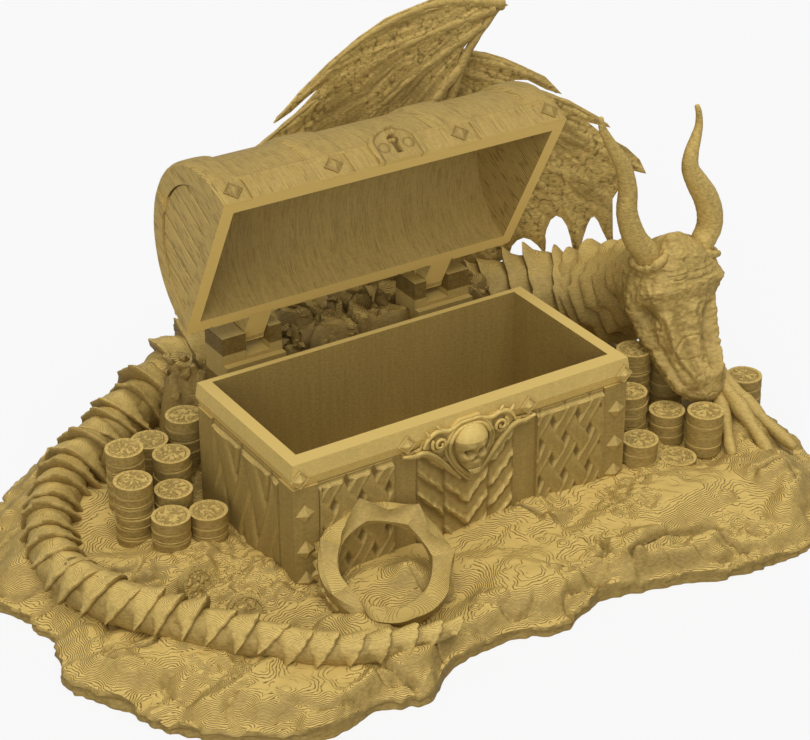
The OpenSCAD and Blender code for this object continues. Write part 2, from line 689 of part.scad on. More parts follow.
module coin_stack(s) {
    p = plan([s[0], s[1]]);
    color(metal_color) translate([p[0], p[1], ground_z + s[3]]) {
        rotate_extrude($fn = 40) for (k = [0 : s[2] - 1]) coin_section(k, k == s[2] - 1);
        // Round boss in the middle of the top coin
        translate([0, 0, s[2] * coin_t - 0.5]) cylinder(h = 0.4, d = coin_d * 0.4);
    }
}

// Coins half buried in the sand: plan place, height over the mean ground, tilt, turn
loose = [[-70.5, -12.5, 1, 62, 20], [-65.5, -28, 0.4, 55, -15]];
module loose_coins() {
    color(metal_color) for (c = loose) let (p = plan([c[0], c[1]]))
        translate([p[0], p[1], ground_z + c[2]]) rotate([0, 0, c[4]]) rotate([c[3], 0, 0])
            translate([0, 0, -coin_t / 2]) rotate_extrude($fn = 40) coin_section(0, true);
}

module coin_stack_left_1() { coin_stack(left_stacks[0]); }
module coin_stack_left_2() { coin_stack(left_stacks[1]); }
module coin_stack_left_3() { coin_stack(left_stacks[2]); }
module coin_stack_left_4() { coin_stack(left_stacks[3]); }
module coin_stack_left_5() { coin_stack(left_stacks[4]); }
module coin_stack_left_6() { coin_stack(left_stacks[5]); }
module coin_stack_left_7() { coin_stack(left_stacks[6]); }
module coin_stack_left_8() { coin_stack(left_stacks[7]); }
module coin_stack_right_1() { coin_stack(right_stacks[0]); }
module coin_stack_right_2() { coin_stack(right_stacks[1]); }
module coin_stack_right_3() { coin_stack(right_stacks[2]); }
module coin_stack_right_4() { coin_stack(right_stacks[3]); }
module coin_stack_right_5() { coin_stack(right_stacks[4]); }
module coin_stack_right_6() { coin_stack(right_stacks[5]); }
module coin_stack_right_7() { coin_stack(right_stacks[6]); }
module coin_stack_right_8() { coin_stack(right_stacks[7]); }

// ---- Dragon ----

// Girth of a body point follows body_girth
function girth(p) = [p[0], p[1], p[2], p[3] * body_girth];
neck_path = [for (p = [[82, 8, 36, 8], [87, 20, 27, 9.5], [86, 34, 21, 10.5], [76, 48, 19, 11], [58, 58, 18, 12],
                       [36, 64, 17, 13], [12, 67, 16, 13], [-10, 70, 13, 12], [-28, 74, 10, 10.5]]) girth(spot(p))];
tail_path = [for (p = [[-28, 74, 10, 10.5], [-38, 71, 6, 9.6], [-50, 65, 4.4, 8.8], [-62, 57.5, 3.6, 8.4],
                       [-73, 49, 3.2, 8], [-82.5, 40, 3, 7.6], [-89.5, 30, 3, 7.2], [-94, 19, 3, 7],
                       [-95.5, 8, 3, 6.8], [-93.5, -4, 3, 6.6], [-88.5, -14, 3, 6.4], [-83, -23, 2.8, 6],
                       [-76, -33, 2.6, 5.6], [-69, -41.5, 2.4, 5], [-61.5, -49.5, 2, 4.6], [-53, -55.5, 1.8, 4.2],
                       [-44, -58.5, 1.6, 3.6], [-36, -60, 1.4, 3], [-28.5, -60.5, 1.2, 2]]) girth(spot(p))];

module dragon_neck() { color(dragon_color) swept(neck_path, 2, 14); }
module dragon_tail() { color(dragon_color) swept(tail_path, 2, 12); }

// A thin fin across the body at place u of a path, standing h above its back
module fin(path, u, h, t, lean) {
    a = along(path, u);
    b = along(path, min(u + 0.05, len(path) - 1));
    heading = atan2(b[1] - a[1], b[0] - a[0]);
    r = a[3];
    translate(xyz(a)) rotate([0, 0, heading]) rotate([0, lean, 0]) rotate([90, 0, 90])
        linear_extrude(t, center = true) polygon([[-r * 0.9, 0], [-r * 1.06, r * 0.5], [-r * 0.5, r * 0.95],
            [0, r + h], [r * 0.5, r * 0.95], [r * 1.06, r * 0.5], [r * 0.9, 0]]);
}

module dragon_back_plates() {
    color(dragon_color) for (k = [1 : 15]) fin(neck_path, k * 0.49, 3, 2.2, -14);
}

module dragon_tail_fins() {
    color(dragon_color) for (k = [1 : 34]) fin(tail_path, k * 0.52, 1 + k / 36, 1.5, -18);
}

// Head: the brows, the face down to the snout, and the jaw
head_x = stretch(82, plan_x, chest_l / 2);
brow_shift = 2;                   // of the brows and horns to the right of the snout
head_y = stretch(2, plan_y, chest_w / 2);
head_z = ground_z + 39;
snout_z = ground_z + 9.6;
snout_y = head_y - 22;

module ball(x, y, z, d) { translate([x, y, z]) sphere(d = d, $fn = 18); }

module dragon_head() {
    color(dragon_color) translate([head_x, 0, 0]) {
        // Brain case and brows
        hull() {
            for (s = [-1, 1]) ball(brow_shift + s * (brow_w / 2 - 4.5), head_y - 1.5, head_z + 2, 9);
            for (s = [-1, 1]) ball(brow_shift + s * (brow_w / 2 - 4.5), head_y - 6, head_z - 6, 9);
            ball(brow_shift, head_y - 2.5, head_z + 8, 9);
            ball(brow_shift - 2, head_y + 5, head_z - 4, 14);
        }
        // Face that narrows to the snout
        hull() {
            for (s = [-1, 1]) ball(brow_shift + s * (brow_w / 2 - 4.5), head_y - 6, head_z - 6, 9);
            for (s = [-1, 1]) ball(s * (snout_w / 2 - 3.5), snout_y + 6, snout_z + 5, 7);
            ball(1, head_y - 8, head_z - 14, 10);
        }
        // Snout tip with nostril ridge
        hull() {
            for (s = [-1, 1]) ball(s * (snout_w / 2 - 3.5), snout_y + 5, snout_z + 5, 7);
            ball(0, snout_y + 3.4, snout_z + 3.2, 6);
            ball(0, snout_y + 2.6, snout_z + 6, 5);
        }
        // Jaw behind the face
        hull() {
            for (s = [-1, 1]) ball(s * (brow_w / 2 - 5), head_y + 5, head_z - 14, 8);
            for (s = [-1, 1]) ball(s * (snout_w / 2 - 3.5), snout_y + 9, snout_z + 5, 6);
        }
    }
}

// Horns over the middle of the brows: sideways, up, share of the thickness
horn_left_points = [[-8, 3, 1], [-9.6, 7.6, 1], [-14.2, 13.6, 0.96], [-17.2, 21.4, 0.84], [-17.4, 28, 0.76],
                    [-18.8, 34, 0.66], [-20.7, 37.8, 0.58], [-23.8, 42.6, 0.44], [-26.6, 47.4, 0.3], [-27.4, 50.6, 0.2]];
horn_right_points = [[8, 2, 1], [9.5, 6.4, 1], [11.4, 10.4, 1.04], [11.2, 15, 1.04], [9.2, 20, 1], [6.3, 24.4, 0.9],
                     [3.4, 29.4, 0.7], [3.4, 33.8, 0.58], [4.5, 37.8, 0.44], [5.3, 41.2, 0.32], [5, 44.8, 0.25], [4.2, 47, 0.2]];
module horn(points) {
    color(dragon_color) swept([for (p = points)
        [head_x + brow_shift + p[0], head_y - 1, head_z + p[1], p[2] * horn_d / 2]], 2, 14);
}
module dragon_horn_left() { horn(horn_left_points); }
module dragon_horn_right() { horn(horn_right_points); }

// Bones of the fore claw, spread on the sand beside the head
claw_paths = [[[90, -9, 14, 1], [93, -24, 6, 0.9], [95, -35, 1.5, 0.7], [95.6, -40, 0, 0.45]],
              [[90, -9, 13, 1], [89, -26, 6, 0.9], [88, -36, 1.5, 0.7], [86.6, -41, 0, 0.45]],
              [[90, -9, 12, 1], [84, -24, 5, 0.8], [80.4, -31, 1, 0.6], [79, -34, 0, 0.4]]];
module dragon_claws() {
    color(dragon_color) for (path = claw_paths)
        swept([for (p = path) let (q = spot(p)) [q[0], q[1], q[2], p[3] * claw_d / 2]], 3, 10);
}

// ---- Wings ----

// Each wing is a flat sheet that stands on its root line; points are [along, height over the ground]
wing_left_y = stretch(63, plan_y, chest_w / 2);
left_outline = [[-3.7, 80], [4.5, 87], [13.4, 93.2], [22.6, 98.4], [31.4, 102.2], [45.3, 104.6], [56.7, 104.7],
                [66, 102], [71, 98.3], [66, 97.6], [63, 95.7], [60, 93.4], [57.6, 90], [55.4, 88], [50, 74],
                [46, 50], [44, 30], [44, 12], [32, 10], [24, 24], [14, 22], [8, 36], [-4, 36], [-4, 50],
                [-16, 52], [-12, 62], [-19, 69], [-11, 73.7], [-6, 76], [-1, 78.5], [4.4, 82], [11.3, 87.5],
                [6.3, 85], [1.3, 82]];
function on_left_wing(p) = [stretch(p[0], plan_x, chest_l / 2), p[1]];
module wing_left_membrane() {
    color(dragon_color) translate([0, wing_left_y, ground_z]) rotate([90, 0, 0])
        linear_extrude(membrane_t, center = true) polygon([for (p = left_outline) on_left_wing(p)]);
}

left_fingers = [[[42, 14], [46, 50], [56, 84], [69, 99]], [[69, 99], [46, 103], [22, 97], [-3, 80.6]],
                [[66, 98], [40, 94], [14, 86], [-16, 70]], [[62, 94], [36, 82], [12, 66], [-14, 53]],
                [[56, 84], [36, 66], [16, 50], [-3, 37]]];
module flat_finger(pts, d, tip) {
    n = len(pts) - 1;
    swept([for (k = [0 : n]) [pts[k][0], pts[k][1], 0, d / 2 * (1 - (1 - tip) * k / n)]], 4, 10);
}
module wing_left_fingers() {
    color(dragon_color) translate([0, wing_left_y, ground_z]) rotate([90, 0, 0])
        for (k = [0 : len(left_fingers) - 1])
            flat_finger([for (p = left_fingers[k]) on_left_wing(p)], finger_d * (k == 0 ? 1.5 : 1), 0.4);
}

// The right wing swings forward by this angle from its root
wing_right_turn = -25;
wing_right_root = [stretch(66, plan_x, chest_l / 2), stretch(66, plan_y, chest_w / 2)];
right_outline = [[-18, 14], [-6, 12], [2, 18], [8, 20.8], [8.8, 24.2], [12.2, 26.5], [15.8, 24.5], [19, 20.5],
                 [18.8, 27], [21.3, 33], [25, 30], [27.2, 21.3], [29, 21.2], [30.8, 28.7], [32.6, 32.4], [35, 28.4],
                 [39, 21.4], [38.2, 37.5], [39.7, 40.2], [43.6, 46.3], [47.8, 45], [45.7, 49.4], [41.7, 53.4],
                 [34.2, 58.2], [29.8, 62], [36.6, 60], [32.8, 63.5], [25, 68.4], [15, 72], [8.3, 74.4], [8.3, 76],
                 [12, 75.8], [17.4, 72.7], [22, 71], [17.2, 76.3], [10.4, 80], [5.2, 82.6], [0, 84.5], [-7.5, 85.7],
                 [-18, 86.6], [-25, 84], [-29, 66], [-27, 40]];
module on_right_wing() {
    translate([wing_right_root[0], wing_right_root[1], ground_z]) rotate([0, 0, wing_right_turn])
        rotate([90, 0, 0]) children();
}
module wing_right_membrane() {
    color(dragon_color) on_right_wing() linear_extrude(membrane_t, center = true) polygon(right_outline);
}
right_fingers = [[[-17, 16], [-26, 40], [-28, 64], [-22, 84]], [[-22, 84], [-8, 85], [8, 80], [21, 71.4]],
                 [[-22, 84], [2, 76], [22, 69], [36, 60.4]], [[-22, 84], [8, 64], [32, 54], [47, 45.4]],
                 [[-22, 84], [4, 56], [24, 40], [38.4, 23]], [[-22, 84], [-2, 56], [14, 40], [28, 22]],
                 [[-22, 84], [-10, 56], [6, 38], [18.4, 21.6]]];
module wing_right_fingers() {
    color(dragon_color) on_right_wing()
        for (k = [0 : len(right_fingers) - 1]) flat_finger(right_fingers[k], finger_d * (k == 0 ? 1.5 : 1), 0.4);
}

base_terrain();
chest_box();
chest_rim_band();
chest_corner_posts();
chest_front_braids();
chest_back_braids();
chest_scale_panel();
chest_end_straps();
chest_studs();
crest_skull();
crest_scrollwork();
hinge_bracket_left();
hinge_bracket_right();
hinge_pin_left();
hinge_pin_right();
rubble_mound();
faceted_ring();
coin_stack_left_1();
coin_stack_left_2();
coin_stack_left_3();
coin_stack_left_4();
coin_stack_left_5();
coin_stack_left_6();
coin_stack_left_7();
coin_stack_left_8();
coin_stack_right_1();
coin_stack_right_2();
coin_stack_right_3();
coin_stack_right_4();
coin_stack_right_5();
coin_stack_right_6();
coin_stack_right_7();
coin_stack_right_8();
loose_coins();
dragon_head();
dragon_horn_left();
dragon_horn_right();
dragon_neck();
dragon_back_plates();
dragon_tail();
dragon_tail_fins();
dragon_claws();
wing_left_membrane();
wing_left_fingers();
wing_right_membrane();
wing_right_fingers();
lid_shell();
lid_edge_band();
lid_straps();
lid_end_panels();
lid_lock_plate();
lid_studs();
hinge_arm_left();
hinge_arm_right();
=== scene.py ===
"""Looks of a dice chest with a hinged lid, on a sandy base with a dragon lying round it.

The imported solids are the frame. Pieces are built in millimetres in the same frame and made metres at the end.
"""
import logging
import math
from collections import defaultdict
from dataclasses import dataclass, replace
from enum import Enum
from typing import Callable, Iterable, Mapping, Sequence

import bmesh
import bpy
import numpy as np
from bpy.types import Material, NodeSocket, Object
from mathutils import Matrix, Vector
from mathutils.geometry import delaunay_2d_cdt


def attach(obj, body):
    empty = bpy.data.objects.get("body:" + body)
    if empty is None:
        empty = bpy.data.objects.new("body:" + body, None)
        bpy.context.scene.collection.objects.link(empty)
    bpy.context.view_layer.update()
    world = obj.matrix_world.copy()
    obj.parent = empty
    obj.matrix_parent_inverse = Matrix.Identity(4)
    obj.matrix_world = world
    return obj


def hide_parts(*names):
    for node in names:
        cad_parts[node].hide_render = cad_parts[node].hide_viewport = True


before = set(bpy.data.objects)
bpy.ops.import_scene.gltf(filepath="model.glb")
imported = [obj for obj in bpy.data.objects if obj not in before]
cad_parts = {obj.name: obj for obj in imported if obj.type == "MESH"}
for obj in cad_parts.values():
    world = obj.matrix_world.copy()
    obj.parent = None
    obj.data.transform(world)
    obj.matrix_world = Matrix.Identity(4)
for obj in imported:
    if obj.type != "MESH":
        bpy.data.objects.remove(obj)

log = logging.getLogger("dice_chest")

MM = 0.001
METRE = 1000.0
HINGE_Y = 36.5
HINGE_Z = 43.4
OPEN_ANGLE = 61.8
GROUND_Z = 7.0
BRACKET_X = 28.9
NOISE_CELLS = 4096
NOISE_KEYS = (73856093, 19349663, 83492791)
WHITE = (1, 1, 1, 1)
SIDEWAYS, BACKWARD, UPWARD = (1.0, 0.0, 0.0), (0.0, 1.0, 0.0), (0.0, 0.0, 1.0)

Point = Sequence[float]
Pair = tuple[float, float]
Triple = tuple[float, float, float]
Cloud = np.ndarray


class Body(Enum):
    """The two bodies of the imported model."""

    CHEST = "chest_and_base"
    LID = "lid"


# ---- Numbers and curves ----

def smooth(value: Cloud, low: float, high: float) -> Cloud:
    """Step from 0 at low to 1 at high, rounded at both ends."""
    t = np.clip((value - low) / (high - low), 0, 1)
    return t * t * (3 - 2 * t)


def hump(distance: Cloud, width: float) -> Cloud:
    """Bell of height 1 round distance 0."""
    return np.exp(-(distance / width) ** 2)


def bell(du: Cloud, dv: Cloud, width: float) -> Cloud:
    """Bell of height 1 round a place, from the two distances to it."""
    return hump(np.hypot(du, dv), width)


def arch(share: Cloud) -> Cloud:
    """Rounded height, 1 in the middle and 0 where the share reaches 1."""
    return np.sqrt(np.clip(1 - share, 0, 1))


def columns(*values: Cloud) -> Cloud:
    """Values side by side, one row for each place."""
    return np.column_stack(values)


def circle(reach: Cloud | float, angle: Cloud, height: Cloud | float) -> Cloud:
    """Points round the z axis."""
    return columns(reach * np.cos(angle), reach * np.sin(angle), height + 0 * angle)


def full_turn(count: int) -> Cloud:
    """Even angles round a circle."""
    return np.arange(count) * 2 * math.pi / count


def cos_sin(degrees: float) -> Pair:
    """Cosine and sine of an angle in degrees."""
    return math.cos(math.radians(degrees)), math.sin(math.radians(degrees))


def spline(points: Cloud, u: Cloud, closed: bool = False) -> Cloud:
    """Follows a smooth curve through points.

    Args:
        points: Rows of coordinates, with any further values after them.
        u: Places on the curve; whole numbers lie on the points.
        closed: Whether the last point leads back to the first.

    Returns:
        One row for each place.
    """
    count = len(points)
    first = np.floor(u).astype(int)
    if not closed:
        first = np.clip(first, 0, count - 2)
    t = (u - first)[:, None]

    def pick(k: int) -> Cloud:
        """The points k steps on from the first of each place."""
        return points[(first + k) % count] if closed else points[np.clip(first + k, 0, count - 1)]

    a, b, c, d = pick(-1), pick(0), pick(1), pick(2)
    return 0.5 * (2 * b + (c - a) * t + (2 * a - 5 * b + 4 * c - d) * t ** 2 + (3 * b - a - 3 * c + d)
        * t ** 3)


def resampled(points: Sequence[Point], pitch: float, closed: bool = False) -> Cloud:
    """Places at about one pitch from each other on the smooth curve through points."""
    rows = np.array(points, float)
    ends = len(rows) if closed else len(rows) - 1
    u = np.linspace(0, ends, ends * 24 + 1)
    fine = spline(rows, u, closed)
    run = np.concatenate([[0], np.cumsum(np.linalg.norm(np.diff(fine[:, :3], axis=0), axis=1))])
    count = max(int(run[-1] / pitch), 3)
    at = np.linspace(0, run[-1], count + 1)
    if closed:
        at = at[:-1]
    return np.stack([np.interp(at, run, fine[:, k]) for k in range(rows.shape[1])], axis=1)


def straightened(points: Sequence[Point], pitch: float) -> Cloud:
    """Places about one pitch apart on a closed outline of straight edges, its corners kept."""
    rows = np.array(points, float)
    out = []
    for a, b in zip(rows, np.roll(rows, -1, axis=0)):
        steps = max(int(np.linalg.norm(b - a) / pitch), 1)
        out.extend(a + (b - a) * k / steps for k in range(steps))
    return np.array(out)


@dataclass(frozen=True)
class Grain:
    """Smooth seeded noise through space, from -1 to 1."""

    size: float
    seed: int
    octaves: int = 1

    def at(self, points: Cloud) -> Cloud:
        """Noise at each point.

        Args:
            points: Rows of x, y, z in millimetres.

        Returns:
            One value for each row.
        """
        table = np.random.default_rng(self.seed).random(NOISE_CELLS) * 2 - 1
        total = np.zeros(len(points))
        reach = 0.0
        for k in range(self.octaves):
            share = 0.5 ** k
            total += share * self._cells(points / (self.size * share) + 17.3 * k, table)
            reach += share
        return total / reach

    @staticmethod
    def _cells(points: Cloud, table: Cloud) -> Cloud:
        """Blends the eight table values round each point."""
        cell = np.floor(points).astype(np.int64)
        t = points - cell
        t = t * t * (3 - 2 * t)
        value = np.zeros(len(points))
        for corner in np.ndindex(2, 2, 2):
            key = cell + np.array(corner)
            key = np.bitwise_xor.reduce(key * np.array(NOISE_KEYS), axis=1)
            value += np.prod(np.where(corner, t, 1 - t), axis=1) * table[key & (NOISE_CELLS - 1)]
        return value

    def creases(self, points: Cloud, width: float = 0.25) -> Cloud:
        """1 in thin creases that wander through space, 0 away from them."""
        return hump(self.at(points), width)


def opened(points: Cloud) -> Cloud:
    """Turns points of the closed lid about the hinge axis to the lid's place at rest."""
    c, s = cos_sin(-OPEN_ANGLE)
    y, z = points[:, 1] - HINGE_Y, points[:, 2] - HINGE_Z
    return columns(points[:, 0], HINGE_Y + c * y - s * z, HINGE_Z + s * y + c * z)


def open_direction(vector: Point) -> Triple:
    """Turns a direction of the closed lid as the open lid is turned."""
    moved = opened(np.array([vector, (0, 0, 0)], float))
    return tuple(float(v) for v in moved[0] - moved[1])


# ---- Meshes ----

@dataclass
class Shell:
    """A closed mesh in millimetres, with a value at each point for the painted shade of its recesses; below
    zero the value is painted light.
    """

    points: Cloud
    faces: list[tuple[int, ...]]
    painted_shade: Cloud | None = None

    def outward(self) -> "Shell":
        """The same shell with its faces pointing outwards."""
        middle = self.points.mean(axis=0)
        volume = 0.0
        by_size = defaultdict(list)
        for face in self.faces:
            by_size[len(face)].append(face)
        for size, group in by_size.items():
            corner = self.points[np.array(group)] - middle
            for k in range(1, size - 1):
                volume += np.einsum("ij,ij->", corner[:, 0], np.cross(corner[:, k], corner[:, k + 1]))
        if volume < 0:
            self.faces = [face[::-1] for face in self.faces]
        return self

    def moved(self, change: Callable[[Cloud], Cloud]) -> "Shell":
        """The shell with its points changed."""
        return Shell(change(self.points), self.faces, self.painted_shade).outward()

    @staticmethod
    def joined(shells: Sequence["Shell"]) -> "Shell":
        """All shells as one."""
        faces = []
        start = 0
        for shell in shells:
            faces += [tuple(k + start for k in face) for face in shell.faces]
            start += len(shell.points)
        painted_shade = [np.zeros(len(s.points)) if s.painted_shade is None else s.painted_shade for s in shells]
        return Shell(np.concatenate([s.points for s in shells]), faces, np.concatenate(painted_shade))

    def to_mesh(self, name: str, sharp: float) -> bpy.types.Mesh:
        """Makes a Blender mesh in metres.

        Args:
            name: Name of the mesh.
            sharp: Angle in degrees from which an edge looks sharp.

        Returns:
            The mesh, with the attribute of painted shade that the finishes read.
        """
        mesh = bpy.data.meshes.new(name)
        mesh.from_pydata((self.points * MM).tolist(), [], self.faces)
        mesh.validate()
        mesh.shade_smooth()
        mesh.set_sharp_from_angle(angle=math.radians(sharp))
        if self.painted_shade is not None:
            mesh.attributes.new("painted_shade", "FLOAT", "POINT").data.foreach_set("value",
                self.painted_shade.astype(np.float32))
        return mesh


@dataclass(frozen=True)
class Place:
    """A flat place to build on: its origin and its three directions."""

    origin: Point
    right: Point
    up: Point
    out: Point

    def put(self, points: Cloud) -> Cloud:
        """Points of the place, in the shared frame."""
        return np.array(self.origin, float) + points @ np.array([self.right, self.up, self.out], float)


def tilted(origin: Point, lean: float, swing: float) -> Place:
    """A place whose x lies level, swung about z, and whose y leans up by an angle in degrees."""
    (c, s), (x, y) = cos_sin(lean), cos_sin(swing)
    right, up = (x, y, 0.0), (-y * c, x * c, s)
    return Place(origin, right, up, tuple(np.cross(right, up)))


def facing(origin: Point, x: int, y: int) -> Place:
    """An upright place that looks along a direction of the plan."""
    return Place(origin, (-y, x, 0), (0, 0, 1), (x, y, 0))


@dataclass
class Flat:
    """A flat net of faces, to be raised into a relief."""

    points: Cloud
    faces: list[tuple[int, ...]]

    @staticmethod
    def rectangle(width: float, height: float, pitch: float) -> "Flat":
        """An even net over a rectangle centred on the origin."""
        nu, nv = int(width / pitch) + 1, int(height / pitch) + 1
        u, v = np.meshgrid(np.linspace(-width / 2, width / 2, nu), np.linspace(-height / 2, height / 2, nv))
        faces = [(j * nu + i, j * nu + i + 1, (j + 1) * nu + i + 1, (j + 1) * nu + i) for j in range(nv - 1)
            for i in range(nu - 1)]
        return Flat(columns(u.ravel(), v.ravel()), faces)

    @staticmethod
    def inside(outline: Cloud, pitch: float, seed: int = 1) -> "Flat":
        """Triangles of about one pitch within a closed outline."""
        low, high = outline.min(axis=0), outline.max(axis=0)
        u, v = np.meshgrid(np.arange(low[0], high[0], pitch), np.arange(low[1], high[1], pitch * 0.87))
        u = u + (np.arange(u.shape[0]) % 2)[:, None] * pitch / 2
        grid = columns(u.ravel(), v.ravel())
        grid += np.random.default_rng(seed).uniform(-0.12, 0.12, grid.shape) * pitch
        a, b = outline, np.roll(outline, -1, axis=0)
        crossed = np.zeros(len(grid), int)
        nearest = np.full(len(grid), np.inf)
        for p, q in zip(a, b):
            spans = (p[1] > grid[:, 1]) != (q[1] > grid[:, 1])
            rise = q[1] - p[1] if abs(q[1] - p[1]) > 1e-9 else 1e-9
            crossed += spans & (grid[:, 0] < p[0] + (grid[:, 1] - p[1]) * (q[0] - p[0]) / rise)
            edge = q - p
            t = np.clip(((grid - p) @ edge) / max(edge @ edge, 1e-9), 0, 1)
            nearest = np.minimum(nearest, np.linalg.norm(grid - p - t[:, None] * edge, axis=1))
        grid = grid[(crossed % 2 == 1) & (nearest > 0.45 * pitch)]
        every = [Vector(p) for p in np.concatenate([outline, grid])]
        points, _, faces, _, _, _ = delaunay_2d_cdt(every, [], [list(range(len(outline)))], 1, 1e-6)
        return Flat(np.array(points, float), [tuple(f) for f in faces])

    def rim(self) -> list[tuple[int, int]]:
        """Directed edges of the outline."""
        edges = {(f[k], f[(k + 1) % len(f)]) for f in self.faces for k in range(len(f))}
        return [e for e in edges if (e[1], e[0]) not in edges]

    def raised(self, height: Cloud, back: Cloud | float = 0.0, painted_shade: Cloud | None = None) -> Shell:
        """Closes the net into a relief.

        Args:
            height: Height of the front at each point.
            back: Level of a flat back, or the back's height at each point.
            painted_shade: Painted shade at each point, 0 to 1.

        Returns:
            The closed shell.
        """
        count = len(self.points)
        front = columns(self.points, height)
        painted_shade = np.zeros(count) if painted_shade is None else painted_shade
        rim = self.rim()
        if isinstance(back, np.ndarray):
            points = np.concatenate([front, columns(self.points, back)])
            faces = self.faces + [tuple(k + count for k in f[::-1]) for f in self.faces]
            faces += [(b, a, a + count, b + count) for a, b in rim]
            return Shell(points, faces, np.concatenate([painted_shade, painted_shade])).outward()
        used = sorted({a for a, _ in rim})
        twin = {k: count + n for n, k in enumerate(used)}
        foot = columns(self.points[used], np.full(len(used), back))
        middle = np.append(self.points[used].mean(axis=0), back)
        last = count + len(used)
        faces = self.faces + [(b, a, twin[a], twin[b]) for a, b in rim]
        faces += [(last, twin[b], twin[a]) for a, b in rim]
        points = np.concatenate([front, foot, [middle]])
        return Shell(points, faces, np.append(painted_shade, np.zeros(len(used) + 1))).outward()


def wrapped(share: Cloud, angle: Cloud, run: float, girth: float) -> Cloud:
    """Places on an even bar, so that noise closes round a tube."""
    return columns((share * run).ravel(), (girth * np.cos(angle)).ravel(), (girth * np.sin(angle)).ravel())


def tube(path: Cloud, radius: Cloud, sides: int = 16, swell: Callable[[Cloud, Cloud],
        Cloud] | None = None) -> Shell:
    """A round body along a path, closed at both ends.

    Args:
        path: Rows of x, y, z.
        radius: Radius at each row.
        sides: Number of corners round the body.
        swell: Extra radius, from the share of the length and the angle round the body.

    Returns:
        The closed shell.
    """
    ahead = np.gradient(path, axis=0)
    ahead /= np.linalg.norm(ahead, axis=1)[:, None]
    side = np.empty_like(ahead)
    side[0] = np.cross(ahead[0], (0, 0, 1) if abs(ahead[0][2]) < 0.9 else (0, 1, 0))
    side[0] /= np.linalg.norm(side[0])
    for k in range(1, len(side)):
        side[k] = side[k - 1] - (side[k - 1] @ ahead[k]) * ahead[k]
        side[k] /= np.linalg.norm(side[k])
    rise = np.cross(side, ahead)
    angle = full_turn(sides)
    extra = 0.0
    if swell is not None:
        share = np.linspace(0, 1, len(path))
        extra = swell(share[:, None] + 0 * angle[None, :], angle[None, :] + 0 * share[:, None])
    reach = radius[:, None] + extra
    ring = (path[:, None, :] + (reach * np.cos(angle))[:, :, None] * side[:, None, :]
        + (reach * np.sin(angle))[:, :, None] * rise[:, None, :])
    return lofted(ring)


def strips(count: int, rows: int, sides: int) -> list[tuple[int, ...]]:
    """Faces between rings of points.

    Args:
        count: Number of strips; as many as there are rings if the last leads back to the first.
        rows: Number of rings.
        sides: Corners of each ring.

    Returns:
        Faces of four corners.
    """
    return [(k * sides + s, k * sides + (s + 1) % sides, (k + 1) % rows * sides + (s + 1) % sides,
        (k + 1) % rows * sides + s) for k in range(count) for s in range(sides)]


def lofted(ring: Cloud, painted_shade: Cloud | None = None) -> Shell:
    """A closed body through rings of points.

    Args:
        ring: Rings, corners of each ring, coordinates.
        painted_shade: Painted shade at each corner, if any.

    Returns:
        The closed shell, with a point in the middle of each end.
    """
    rows, sides, _ = ring.shape
    points = np.concatenate([ring.reshape(-1, 3), [ring[0].mean(axis=0), ring[-1].mean(axis=0)]])
    faces = strips(rows - 1, rows, sides)
    first, last = rows * sides, rows * sides + 1
    for s, t in zip(range(sides), np.roll(range(sides), -1).tolist()):
        faces += [(first, t, s), (last, first - sides + s, first - sides + t)]
    deep = None if painted_shade is None else np.append(painted_shade.ravel(), [0, 0])
    return Shell(points, faces, deep).outward()


# ---- Finishes ----

def linear(colour: Sequence[int]) -> tuple[float, float, float, float]:
    """Colour of 0 to 255 as the shader's linear values."""
    def one(v: float) -> float:
        """One channel."""
        return v / 12.92 if v <= 0.04045 else ((v + 0.055) / 1.055) ** 2.4
    return tuple(one(c / 255) for c in colour) + (1.0,)


class Num:
    """A value in a node tree, for plain sums in Python."""

    def __init__(self, net: "ShaderTree", socket: NodeSocket) -> None:
        """Keeps the tree and the socket that gives the value."""
        self.net = net
        self.socket = socket

    def maths(self, operation: str, *values: "Num | float") -> "Num":
        """Adds a Math node on this value and others."""
        return Num(self.net, self.net.add("ShaderNodeMath", {"operation": operation}, (self, *values)))

    def __add__(self, other: "Num | float") -> "Num":
        """Sum."""
        return self.maths("ADD", other)

    __radd__ = __add__

    def __sub__(self, other: "Num | float") -> "Num":
        """Difference."""
        return self.maths("SUBTRACT", other)

    def __rsub__(self, other: float) -> "Num":
        """Difference from a number."""
        return (self * -1.0) + other

    def __mul__(self, other: "Num | float") -> "Num":
        """Product."""
        return self.maths("MULTIPLY", other)

    __rmul__ = __mul__

    def __truediv__(self, other: "Num | float") -> "Num":
        """Quotient."""
        return self.maths("DIVIDE", other)

    def __abs__(self) -> "Num":
        """Size without sign."""
        return self.maths("ABSOLUTE")

    def root(self) -> "Num":
        """Square root."""
        return self.maths("MAXIMUM", 0.0).maths("SQRT")

    def part(self) -> "Num":
        """What is left after the whole number."""
        return self.maths("FRACT")

    def step(self, low: "Num | float", high: "Num | float") -> "Num":
        """Rounded step from 0 at low to 1 at high."""
        settings = {"interpolation_type": "SMOOTHSTEP"}
        return Num(self.net, self.net.add("ShaderNodeMapRange", settings, {"Value": self, "From Min": low,
            "From Max": high}))


